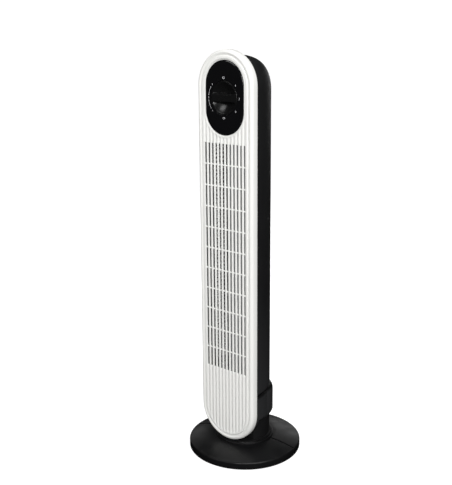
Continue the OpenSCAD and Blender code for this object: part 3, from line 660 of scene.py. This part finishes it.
def outlet_fins():
    """Comb of level fins behind the slots: each a short blade on a tail that reaches the duct's wall."""
    low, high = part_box("outlet_fins")
    thick = 2.6 * MM
    pitch = 8 * MM
    first = 200 * MM
    count = int((high.z - thick - first) / pitch) + 1
    blade_left, blade_front, tail_front = -40 * MM, low.y + 7 * MM, high.y - 3 * MM
    edge = 0.5 * MM
    outline = [(low.x + edge, tail_front), (blade_left, tail_front), (blade_left, blade_front + edge),
               (blade_left + edge, blade_front), (high.x - edge, blade_front), (high.x, blade_front + edge),
               (high.x, high.y), (low.x + edge, high.y)]
    parts = []
    for i in range(count):
        z = first + i * pitch
        rings = []
        for inset, up in ((0.35, 0), (0, 0.35), (0, 2.25), (0.35, 2.6)):
            rings.append([(x, y + inset * MM if y < tail_front else y, z + up * MM) for x, y in outline])
        parts.append(loft(rings))
    spine = [(low.x, tail_front - 1 * MM), (low.x + 1.6 * MM, tail_front - 1 * MM),
             (low.x + 1.6 * MM, high.y - 0.3 * MM), (low.x, high.y - 0.3 * MM)]
    parts.append(loft([[(x, y, z) for x, y in spine] for z in (low.z, high.z)]))
    verts, faces = joined(*parts)
    piece = make_piece("fin_comb", verts, faces, "tower", MATERIALS["fin_white"], smooth=30)
    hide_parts("outlet_fins")


# ---- controls ----


def control_panel():
    """Glossy plate with a broad bevel, open round the knob."""
    outline = stadium(CONTROL_HALF, CONTROL_CENTRES, 48, 10)
    hole = KNOB_RADIUS + KNOB_GAP
    bevel = 5 * MM
    skirt = CONTROL_BACK + 0.6 * MM
    face = CONTROL_FACE

    bevel_curve = []
    for degrees in range(0, 86, 9):
        a = math.radians(degrees)
        bevel_curve.append((CONTROL_HALF - bevel * (1 - math.sin(a)), skirt + (face - skirt) * math.cos(a)))

    def around_hole(radius, forward):
        ring = []
        for x, z, _, _ in outline:
            length = math.hypot(x, z - KNOB_HEIGHT)
            ring.append((x / length * radius, -forward, KNOB_HEIGHT + (z - KNOB_HEIGHT) / length * radius))
        return ring

    def around_edge(half, forward):
        return [(x, -forward, z) for x, z, _, _ in stadium(half, CONTROL_CENTRES, 48, 10)]

    near_hole = around_hole(hole + 1.2 * MM, face)
    near_edge = around_edge(CONTROL_HALF - bevel - 1.2 * MM, face)
    middle = []
    for t in (0.33, 0.66):
        middle.append([tuple(p + (q - p) * t for p, q in zip(a, b)) for a, b in zip(near_hole, near_edge)])
    rings = [
        around_hole(hole, CONTROL_BACK),
        around_hole(hole, face - 0.5 * MM),
        around_hole(hole + 0.15 * MM, face - 0.15 * MM),
        around_hole(hole + 0.5 * MM, face),
        near_hole,
        *middle,
        near_edge,
        *[around_edge(half, forward) for half, forward in bevel_curve],
        around_edge(CONTROL_HALF, skirt - 0.3 * MM),
        around_edge(CONTROL_HALF, CONTROL_BACK),
        around_hole(hole, CONTROL_BACK),
    ]
    verts, faces = loft(rings, closed=True, caps=False)
    piece = make_piece("control_plate", verts, faces, "tower", MATERIALS["control_gloss"])
    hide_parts("control_panel")


def ribbon(points, width, raised=0.12 * MM):
    """A flat printed line through (x, z) points on the control plate."""
    verts = []
    faces = []
    for i, (x, z) in enumerate(points):
        before = points[max(i - 1, 0)]
        after = points[min(i + 1, len(points) - 1)]
        dx, dz = after[0] - before[0], after[1] - before[1]
        length = math.hypot(dx, dz)
        ox, oz = -dz / length * width / 2, dx / length * width / 2
        for forward in (CONTROL_FACE + raised, CONTROL_FACE - 0.05 * MM):
            verts.append((x + ox, -forward, z + oz))
            verts.append((x - ox, -forward, z - oz))
    for i in range(len(points) - 1):
        a, b = i * 4, i * 4 + 4
        faces += [(a, b, b + 1, a + 1), (a + 2, a + 3, b + 3, b + 2)]
        faces += [(a, a + 2, b + 2, b), (a + 1, b + 1, b + 3, a + 3)]
    last = (len(points) - 1) * 4
    faces += [(0, 1, 3, 2), (last, last + 2, last + 3, last + 1)]
    return verts, faces


def digit(value):
    """Strokes of a plain dial digit in a box one unit high."""
    if value == 0:
        return [[(0.3 * math.cos(math.radians(a)), 0.5 * math.sin(math.radians(a))) for a in range(0, 361, 20)]]
    if value == 1:
        return [[(-0.18, 0.28), (0.02, 0.5), (0.02, -0.5)]]
    if value == 2:
        bend = arc((0, 0.24), 0.26, 165, -40, 10)
        return [bend + [(-0.28, -0.5), (0.3, -0.5)]]
    upper = arc((0, 0.25), 0.25, 140, -90, 9)
    lower = arc((0, -0.25), 0.27, 90, -140, 10)
    return [upper, lower]


def dial_marks():
    """Generic numbers and swing arcs round the knob."""
    mark_circle = 36.6 * MM
    parts = []

    def place(value, degrees, size, stretch=1.0):
        a = math.radians(degrees)
        cx, cz = mark_circle * math.cos(a), KNOB_HEIGHT + mark_circle * math.sin(a)
        for stroke in digit(value):
            parts.append(ribbon([(cx + x * size * stretch, cz + z * size) for x, z in stroke], 0.62 * MM))

    place(0, 90, 3.2 * MM, 2.6)
    place(0, -90, 3.2 * MM, 2.6)
    for value, degrees in ((1, 40), (2, 0), (3, -40)):
        place(value, degrees, 3.2 * MM)
    for value, degrees in ((3, 139), (2, 180), (1, -139)):
        place(value, degrees, 2.6 * MM)
    for start, stop in ((148, 172), (188, 212)):
        points = arc((0, KNOB_HEIGHT), mark_circle, start, stop, 12)
        parts.append(ribbon(points, 0.48 * MM))
        for x, z in (points[0], points[-1]):
            parts.append(ribbon(arc((x, z), 0.4 * MM, 0, 360, 12), 0.75 * MM))
    verts, faces = joined(*parts)
    make_piece("dial_marks", verts, faces, "tower", PRINT)


def control_knob():
    """Flush knob: two scooped hollows either side of a grip bar."""
    dish_radius = 45 * MM
    dish_edge = KNOB_RADIUS - 2.2 * MM
    bar_half = 7.6 * MM
    rim_round = 0.8 * MM
    flat = KNOB_RADIUS - rim_round

    def depth(x, z):
        radius = math.hypot(x, z)
        if radius >= dish_edge:
            return 0.0
        bowl = math.sqrt(dish_radius**2 - radius**2) - math.sqrt(dish_radius**2 - dish_edge**2)
        side = smooth_step((abs(z) - bar_half + 0.9 * MM) / (2.4 * MM))
        crown = 0.25 * MM * smooth_step((abs(z) - bar_half + 3 * MM) / (3 * MM))
        return max(bowl * side, min(crown, bowl))

    heights = set()
    for degrees in range(0, 91, 4):
        heights.add(round(flat * math.sin(math.radians(degrees)), 6))
    for offset in (-3, -2, -1.3, -0.9, -0.5, -0.1, 0.3, 0.7, 1.1, 1.5, 2.2):
        heights.add(round(bar_half + offset * MM, 6))
    heights.add(round(flat, 6))
    heights = sorted(h for h in heights if h <= flat)
    heights = [-h for h in reversed(heights) if h > 0] + heights
    heights = [h for i, h in enumerate(heights) if i == 0 or h - heights[i - 1] > 1e-5]
    steps = [math.sin(math.radians(a)) for a in range(-90, 91, 5)]
    front = []
    back = []
    for z in heights:
        reach = math.sqrt(max(flat * flat - z * z, 0.0))
        for t in steps:
            x = t * reach
            front.append((x, -(KNOB_FACE - depth(x, z)), KNOB_HEIGHT + z))
            back.append((x, -(KNOB_FACE - 12.6 * MM), KNOB_HEIGHT + z))
    faces = [tuple(reversed(face)) for face in grid_faces(len(heights), len(steps))]
    front, back, faces = weld(front, back, faces)
    rim = open_edges(faces)
    verts, faces = thicken(front, back, faces, skip=rim)
    previous = {i: i for edge in rim for i in edge}
    profile = arc((flat, KNOB_FACE - rim_round), rim_round, 70, 0, 4)
    profile += [(KNOB_RADIUS, KNOB_FACE - 12 * MM), (flat, KNOB_FACE - 12.6 * MM)]
    for distance, forward in profile:
        ring = {}
        for i in previous:
            x, _, z = verts[i]
            length = math.hypot(x, z - KNOB_HEIGHT)
            ring[i] = len(verts)
            verts.append((x / length * distance, -forward, KNOB_HEIGHT + (z - KNOB_HEIGHT) / length * distance))
        for a, b in rim:
            faces.append((previous[b], previous[a], ring[a], ring[b]))
        previous = ring
    collar = revolve([(3 * MM, -KNOB_FACE + 12.5 * MM), (8 * MM, -KNOB_FACE + 12.5 * MM),
                      (8 * MM, -KNOB_FACE + 15.6 * MM), (7.6 * MM, -KNOB_FACE + 16 * MM),
                      (3 * MM, -KNOB_FACE + 16 * MM)], (0, KNOB_HEIGHT), 48, axis="Y")
    verts, faces = joined((verts, faces), collar)
    piece = make_piece("knob_cap", verts, faces, "knob", MATERIALS["knob_black"], smooth=50)
    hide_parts("control_knob")


# ---- rear housing ----


def plan_point(degrees, grow):
    """The housing's plan, from its right front edge round the back to the left one: side arcs and a round back."""
    t = math.radians(degrees)
    length = math.hypot(HALF_HOUSING * math.cos(t), HOUSING_DEPTH * math.sin(t))
    across = HALF_HOUSING * math.cos(t) / length
    deep = HOUSING_DEPTH * math.sin(t) / length
    side = SIDE_ARC + grow
    reach = math.sqrt(side**2 - (SIDE_CENTRE * deep) ** 2) - SIDE_CENTRE * abs(across)
    if reach * deep > ARC_JOIN:
        back = BACK_ARC + grow
        reach = min(reach, BACK_CENTRE * deep + math.sqrt(back**2 - (BACK_CENTRE * across) ** 2))
    return reach * across, HOUSING_FRONT + reach * deep


def foot_width(z):
    """Half width of the housing's rounded foot at a height."""
    drop = max(HOUSING_BOTTOM + HALF_HOUSING - z, 0.0)
    return math.sqrt(HALF_HOUSING**2 - drop**2)


def within(x, half):
    return min(max(x, -half), half)


def roof_height(y, grow):
    """Half height of the roof's rounded end at a depth."""
    share = min(max((y - HOUSING_FRONT) / HOUSING_DEPTH, 0.0), 1.0)
    sweep = math.sqrt(max(1 - share * share, 0.0))
    return ROOF_RISE_FRONT + grow + 5 * MM * share - 69 * MM * (1 - sweep**0.5) * 1.0


def housing_columns():
    fine = [0, 1.2, 2.6, 5, 8]
    steady = list(range(12, 91, 3))
    half = fine + steady
    return half + [180 - d for d in reversed(half[:-1])]


INLET_FIRST = 182 * MM
INLET_PITCH = 12 * MM
INLET_COUNT = 38
INLET_HEIGHT = 5 * MM
INLET_SPANS = ((57, 75), (81, 99), (105, 123))
GRIP_SPAN = (60, 120)
GRIP_HEIGHTS = (672 * MM, 698 * MM)


def rear_housing():
    columns = housing_columns()
    edge = 1.2 * MM
    floor_rows = [(NECK_TOP, -edge), (NECK_TOP + 0.35 * edge, -0.35 * edge), (NECK_TOP + edge, 0.0)]
    floor_rows += [(COVER_LOW - 0.1 * MM, 0.0), (COVER_LOW, -1.6 * MM), (COVER_HIGH - 1 * MM, -1.6 * MM)]
    floor_rows += [(COVER_HIGH + up * MM, -deep * MM)
                   for up, deep in ((0, 4.4), (2.6, 4.4), (2.9, 3.4), (3.7, 1.9), (5.0, 0.9), (6.8, 0.25), (8.8, 0))]
    heights = []
    for i in range(INLET_COUNT):
        bottom = INLET_FIRST + i * INLET_PITCH
        heights += [bottom, bottom + INLET_HEIGHT]
    heights += list(GRIP_HEIGHTS) + [160 * MM, 650 * MM, 715 * MM, ROOF_START]
    rows = floor_rows + [(z, 0.0) for z in sorted(heights)]
    roof_steps = 26
    front = []
    back = []
    for degrees in columns:
        for z, grow in rows:
            x, y = plan_point(degrees, grow)
            front.append((within(x, foot_width(z) + grow), y, z))
            depth = -WALL if z > COVER_HIGH + 9 * MM else -WALL - 3.4 * MM
            x, y = plan_point(degrees, depth)
            back.append((within(x, foot_width(z) + depth), y, max(z, NECK_TOP + WALL)))
        for i in range(1, roof_steps + 1):
            a = math.radians(90 * i / roof_steps)
            x, y = plan_point(degrees, 0)
            front.append((x * math.cos(a), y, ROOF_START + roof_height(y, 0) * math.sin(a)))
            x, y = plan_point(degrees, -WALL)
            back.append((x * math.cos(a), y, ROOF_START + roof_height(y, -WALL) * math.sin(a)))
    row_count = len(rows) + roof_steps

    def keep(c, r):
        if r + 1 >= len(rows):
            return True
        middle = (columns[c] + columns[c + 1]) / 2
        low, high = rows[r][0], rows[r + 1][0]
        if any(a < middle < b for a, b in INLET_SPANS):
            for i in range(INLET_COUNT):
                bottom = INLET_FIRST + i * INLET_PITCH
                if low > bottom - 1e-6 and high < bottom + INLET_HEIGHT + 1e-6:
                    return False
        grip = GRIP_SPAN[0] < middle < GRIP_SPAN[1]
        return not (grip and low > GRIP_HEIGHTS[0] - 1e-6 and high < GRIP_HEIGHTS[1] + 1e-6)

    faces = grid_faces(len(columns), row_count, keep)
    faces.append(tuple(c * row_count for c in reversed(range(len(columns)))))
    front, back, faces = weld(front, back, faces)
    shell = thicken(front, back, faces)
    verts, faces = joined(shell, skirt(), grip_box())
    piece = make_piece("housing_shell", verts, faces, "tower", MATERIALS["housing_black"])
    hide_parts("rear_housing")


def skirt():
    """The black surround behind the panel's rounded foot."""
    centre = HOUSING_BOTTOM + HALF_HOUSING
    top = NECK_TOP + WALL
    back = -28 * MM
    tilt = math.degrees(math.asin((centre - top) / HALF_HOUSING))
    profile = [(HALF_HOUSING, HOUSING_FRONT)]
    profile += [(HALF_HOUSING - 2 * MM + r, back - 2 * MM + f)
                for r, f in arc((0, 0), 2 * MM, 0, 90, 5)]
    rings = []
    for distance, y in profile:
        rings.append([(x, y, centre + z) for x, z in arc((0, 0), distance, 180 + tilt, 360 - tilt, 60)])
    return loft(rings, closed=True, caps=True)


def grip_box():
    """Inside of the hand hold: a pocket open at the back."""
    low, high = GRIP_HEIGHTS
    columns = [d for d in housing_columns() if GRIP_SPAN[0] <= d <= GRIP_SPAN[1]]
    floor_y = 24 * MM
    outer = [plan_point(d, -0.6 * MM) for d in columns]
    front = []
    back = []
    for x, y in outer:
        front += [(x, y, low), (x, floor_y, low), (x, floor_y, high), (x, y, high)]
        back += [(x, y, low - WALL), (x, floor_y - WALL, low - WALL), (x, floor_y - WALL, high + WALL),
                 (x, y, high + WALL)]
    faces = grid_faces(len(columns), 4)
    for end in (0, len(columns) - 1):
        ring = tuple(end * 4 + i for i in range(4))
        faces.append(ring if end == 0 else tuple(reversed(ring)))
    return thicken(front, back, faces)


def lower_cover():
    """Flush band round the lower back, and the bulge that swells out of it at the rear."""
    columns = [0.6] + [d for d in range(3, 178, 3)] + [179.4]
    edge = 1.4 * MM
    rows = [(COVER_LOW, -0.25 * MM), (COVER_LOW + 0.25 * MM, 0.0)]
    rows += [(COVER_LOW + (COVER_HIGH - COVER_LOW) * t, 0.0) for t in (0.3, 0.6, 0.85)]
    rows += [(COVER_HIGH - edge + x, -edge + z) for z, x in arc((0, 0), edge, 0, 90, 5)]
    front = []
    back = []
    for degrees in columns:
        for z, grow in rows:
            x, y = plan_point(degrees, grow)
            front.append((within(x, foot_width(z) + grow), y, z))
            x, y = plan_point(degrees, -1.5 * MM)
            back.append((within(x, foot_width(z) - 1.5 * MM), y, z))
    band = thicken(front, back, grid_faces(len(columns), len(rows)))
    verts, faces = joined(band, bulge())
    piece = make_piece("lower_cover", verts, faces, "tower", MATERIALS["housing_black"])
    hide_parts("lower_rear_cover")


def bulge():
    """Skin of revolution with a sloping foot and a rounded shoulder."""
    radius, centre = 56 * MM, 4 * MM
    foot_low, foot_high, shoulder, top = 66 * MM, 81 * MM, 125 * MM, 138 * MM
    outer = [(radius - 9 * MM, foot_low), (radius - 1.1 * MM, foot_high - 1.6 * MM)]
    outer += [(radius - 0.35 * MM, foot_high - 0.2 * MM), (radius, foot_high + 1.2 * MM)]
    for degrees in range(0, 91, 10):
        a = math.radians(degrees)
        outer.append((radius - 8.5 * MM * (1 - math.cos(a)), shoulder + (top - shoulder) * math.sin(a)))
    profile = outer + [(r - WALL, z) for r, z in reversed(outer)]
    rings = []
    for i in range(65):
        a = math.radians(-6 + 192 * i / 64)
        rings.append([(r * math.cos(a), centre + r * math.sin(a), z) for r, z in profile])
    return loft(rings, closed=True, caps=True)


def cord_gland():
    low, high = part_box("cord_gland")
    centre = (0, (low.z + high.z) / 2)
    flange = high.x
    bore = 3.6 * MM
    profile = [(bore, low.y), (6 * MM, low.y), (6 * MM, high.y - 4.8 * MM), (flange, high.y - 4.8 * MM)]
    profile += [(flange, high.y - 1.5 * MM)]
    profile += arc((flange - 1.5 * MM, high.y - 1.5 * MM), 1.5 * MM, 15, 90, 5)
    profile += arc((bore + 0.8 * MM, high.y - 0.8 * MM), 0.8 * MM, 90, 180, 4)
    verts, faces = revolve(profile, centre, 64, axis="Y")
    piece = make_piece("gland_ring", verts, faces, "tower", MATERIALS["base_black"])
    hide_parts("cord_gland")


# ---- neck and base ----


def neck():
    """Round neck with a flat front, on a stepped turning foot."""
    limit = math.degrees(math.asin(NECK_FLAT / NECK_RADIUS))
    profile = [(-1.2, 32.2), (0, 32.9), (0, 34), (0, 60), (0, NECK_TOP / MM - 0.2), (-1.5, NECK_TOP / MM)]
    rings = []
    for grow, z in profile:
        radius = NECK_RADIUS + grow * MM
        back_arc = arc((0, 0), radius, -limit + 2, 180 + limit - 2, 80)
        rings.append([(x, y, z * MM) for x, y in back_arc])
    body = loft(rings, closed=True, caps=True)
    foot_low, foot_high, foot_radius = 31.4 * MM, 32.8 * MM, 55.5 * MM
    stub_radius, stub_low, stub_inner = 43.75 * MM, NECK_LOW.z, 41 * MM
    foot_profile = [(stub_inner, foot_high), (foot_radius - 0.7 * MM, foot_high)]
    foot_profile += arc((foot_radius - 0.5 * MM, foot_high - 0.5 * MM), 0.5 * MM, 90, 0, 4)
    foot_profile += [(foot_radius, foot_low + 0.2 * MM), (foot_radius - 0.2 * MM, foot_low), (stub_radius, foot_low),
                     (stub_radius, stub_low), (stub_inner, stub_low)]
    foot = revolve(foot_profile, (0, 0), 128)
    verts, faces = joined(body, foot)
    piece = make_piece("neck_shell", verts, faces, "tower", MATERIALS["neck_black"])
    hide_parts("neck")


def swivel_ring():
    low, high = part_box("swivel_ring")
    bore, seat, flange = 43.8 * MM, 50 * MM, high.x
    dome = 26.5 * MM
    top = high.z
    profile = [(bore, low.z), (seat, low.z), (seat, dome), (flange - 0.2 * MM, dome), (flange, dome + 0.3 * MM)]
    profile += arc((flange - 1.3 * MM, top - 1.3 * MM), 1.3 * MM, 0, 90, 6)
    profile += [(56.6 * MM, top), (56.3 * MM, top - 0.5 * MM), (55.9 * MM, top - 0.5 * MM), (55.6 * MM, top)]
    profile += [(bore + 0.3 * MM, top), (bore, top - 0.3 * MM)]
    verts, faces = revolve(profile, (0, 0), 144)
    piece = make_piece("swivel_flange", verts, faces, "base", MATERIALS["base_black"])
    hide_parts("swivel_ring")


def base_profile():
    """(radius, height) loop of the base's section, outside first."""
    foot_gap, rim_top, dome_top, dome_inner = 2 * MM, 17 * MM, 26.5 * MM, 60 * MM
    rim_edge = 3.2 * MM
    seat = 50.3 * MM
    reach = BASE_RADIUS - rim_edge - dome_inner
    outer = [(seat, dome_top), (dome_inner - 2 * MM, dome_top)]
    for i in range(15):
        t = i / 14
        outer.append((dome_inner + t * reach, dome_top - (dome_top - rim_top) * t**1.7))
    outer += [(BASE_RADIUS - rim_edge + x, rim_top - rim_edge + z) for x, z in arc((0, 0), rim_edge, 76, 0, 8)]
    outer += [(BASE_RADIUS, foot_gap + 1.6 * MM)]
    outer += [(BASE_RADIUS - 1.5 * MM + x, foot_gap + 1.5 * MM + z) for x, z in arc((0, 0), 1.5 * MM, 0, -90, 4)]
    wall = 3 * MM
    inner = [(BASE_RADIUS - wall, foot_gap), (BASE_RADIUS - wall - 0.5 * MM, rim_top - rim_edge - 1 * MM)]
    for i in range(8, -1, -1):
        t = i / 8
        inner.append((dome_inner + t * reach - 2 * MM, dome_top - wall - (dome_top - rim_top) * t**1.7))
    inner.append((seat, dome_top - wall))
    return outer, inner


def base_half(name, node, turn):
    outer, inner = base_profile()
    loop = outer + inner
    seam_rows = (0.1 * MM, 1.6 * MM, 1.65 * MM, 1.8 * MM, 2.4 * MM)
    sunk = (2.6 * MM, 2.6 * MM, 0.1 * MM, 0.0, 0.0)
    angles = [4 + 172 * i / 88 for i in range(89)]
    rings = []
    for offset, drop in zip(seam_rows, sunk):
        rings.append([(math.sqrt(r * r - offset * offset), offset, z, drop, k)
                      for k, (r, z) in enumerate(loop)])
    for degrees in angles:
        a = math.radians(degrees)
        rings.append([(r * math.cos(a), r * math.sin(a), z, 0.0, k) for k, (r, z) in enumerate(loop)])
    for offset, drop in zip(reversed(seam_rows), reversed(sunk)):
        rings.append([(-math.sqrt(r * r - offset * offset), offset, z, drop, k)
                      for k, (r, z) in enumerate(loop)])
    rounded = []
    for ring in rings:
        points = []
        for x, y, z, drop, k in ring:
            if k < len(outer):
                radius = math.hypot(x, y)
                rim = smooth_step((radius - BASE_RADIUS + 3 * MM) / (3 * MM))
                scale = 1 - drop * rim / radius
                points.append((x * scale, y * scale, z - drop * (1 - rim)))
            else:
                points.append((x, y, z))
        rounded.append(points)
    verts, faces = loft(rounded, closed=True, caps=True)
    turned = Matrix.Rotation(BASE_TURN + turn, 3, "Z")
    verts = [tuple(turned @ Vector(v)) for v in verts]
    piece = make_piece(name, verts, faces, "base", MATERIALS["base_black"])
    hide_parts(node)


def rubber_feet():
    radius = 7 * MM
    profile = [(0.01 * MM, 0.0), (radius - 1.4 * MM, 0.0)]
    profile += arc((radius - 1.4 * MM, 1.2 * MM), 1.2 * MM, -90, 0, 5)
    profile += [(radius, 3 * MM), (0.01 * MM, 3 * MM)]
    parts = []
    for i in range(6):
        a = BASE_TURN + math.radians(30 + 60 * i)
        parts.append(revolve(profile, (100 * MM * math.cos(a), 100 * MM * math.sin(a)), 40))
    verts, faces = joined(*parts)
    piece = make_piece("foot_pads", verts, faces, "base", MATERIALS["foot_rubber"])
    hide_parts("rubber_feet")


# ---- stage, light and camera ----


def stage():
    """One pale floor that turns up into a round backdrop."""
    radius, bend, height = 4.2, 1.2, 5.0
    profile = [(0.001, 0.0), (0.6, 0.0), (1.5, 0.0)]
    profile += [(radius - bend + x, bend + z) for x, z in arc((0, 0), bend, -90, 0, 12)]
    profile += [(radius, height)]
    verts, faces = revolve(profile, (0, 0), 96, closed=False)
    mesh = bpy.data.meshes.new("stage")
    mesh.from_pydata(verts, [], faces)
    mesh.shade_smooth()
    obj = bpy.data.objects.new("stage", mesh)
    scene.collection.objects.link(obj)
    n = Nodes("stage_paper")
    paper = n.noise(3, 2.0)
    n.link(n.blend(n.ranged(paper, 0.0, 1.0), (0.5, 0.5, 0.5), (0.53, 0.53, 0.53)), n.shader.inputs["Base Color"])
    n.shader.inputs["Roughness"].default_value = 0.9
    n.shader.inputs["Specular IOR Level"].default_value = 0.0
    n.shader.inputs["Emission Color"].default_value = (1, 1, 1, 1)
    n.shader.inputs["Emission Strength"].default_value = 0.78
    mesh.materials.append(n.material)
    obj.visible_glossy = False
    obj.visible_diffuse = False


def area_light(name, place, target, size, power, glossy=True):
    data = bpy.data.lights.new(name, "AREA")
    data.shape = "RECTANGLE"
    data.size, data.size_y = size
    data.energy = power
    obj = bpy.data.objects.new(name, data)
    obj.visible_glossy = glossy
    scene.collection.objects.link(obj)
    obj.location = place
    obj.rotation_euler = (Vector(target) - Vector(place)).to_track_quat("-Z", "Y").to_euler()
    return obj


def lights():
    world = bpy.data.worlds.new("studio")
    scene.world = world
    world.use_nodes = True
    back = world.node_tree.nodes["Background"]
    back.inputs["Color"].default_value = (1, 1, 1, 1)
    back.inputs["Strength"].default_value = 0.36
    world.cycles_visibility.glossy = False
    middle = (0, 0, 0.42)
    area_light("key", (2.1, -1.1, 1.5), middle, (1.2, 1.6), 42)
    area_light("fill", (-1.0, -1.85, 2.2), middle, (1.0, 0.9), 13)
    area_light("front", (1.15, -2.0, 1.35), middle, (0.6, 0.6), 20)
    area_light("top", (0.3, 0.2, 2.4), middle, (1.4, 1.4), 12)
    area_light("rear", (-0.9, 2.4, 0.8), middle, (1.2, 0.7), 3.8)
    area_light("side", (-2.2, 1.0, 0.9), middle, (1.2, 0.7), 2.2)
    area_light("back", (-0.5, 2.3, 0.5), middle, (0.8, 1.0), 26, glossy=False)


def camera():
    data = bpy.data.cameras.new("camera")
    obj = bpy.data.objects.new("camera", data)
    scene.collection.objects.link(obj)
    yaw, pitch, roll = (math.radians(a) for a in (40.27, 14.31, -0.47))
    forward = Vector((-math.sin(yaw) * math.cos(pitch), math.cos(yaw) * math.cos(pitch), -math.sin(pitch)))
    right = Vector((math.cos(yaw), math.sin(yaw), 0))
    up = right.cross(forward)
    turned_right = right * math.cos(roll) + up * math.sin(roll)
    turned_up = up * math.cos(roll) - right * math.sin(roll)
    turn = Matrix((turned_right, turned_up, -forward)).transposed()
    obj.matrix_world = Matrix.Translation(Vector((975.5, -1207.0, 831.3)) * MM) @ turn.to_4x4()
    data.sensor_fit = "AUTO"
    data.sensor_width = 36
    data.lens = 36 * 810.84 / 485
    data.clip_start = 0.05
    scene.camera = obj


camera()
paint_frame()
front_panel()
outlet_fins()
control_panel()
dial_marks()
control_knob()
rear_housing()
lower_cover()
cord_gland()
neck()
swivel_ring()
base_half("base_front", "base_front_half", math.pi)
base_half("base_rear", "base_rear_half", 0.0)
rubber_feet()
stage()
lights()
scene.view_settings.view_transform = "Standard"
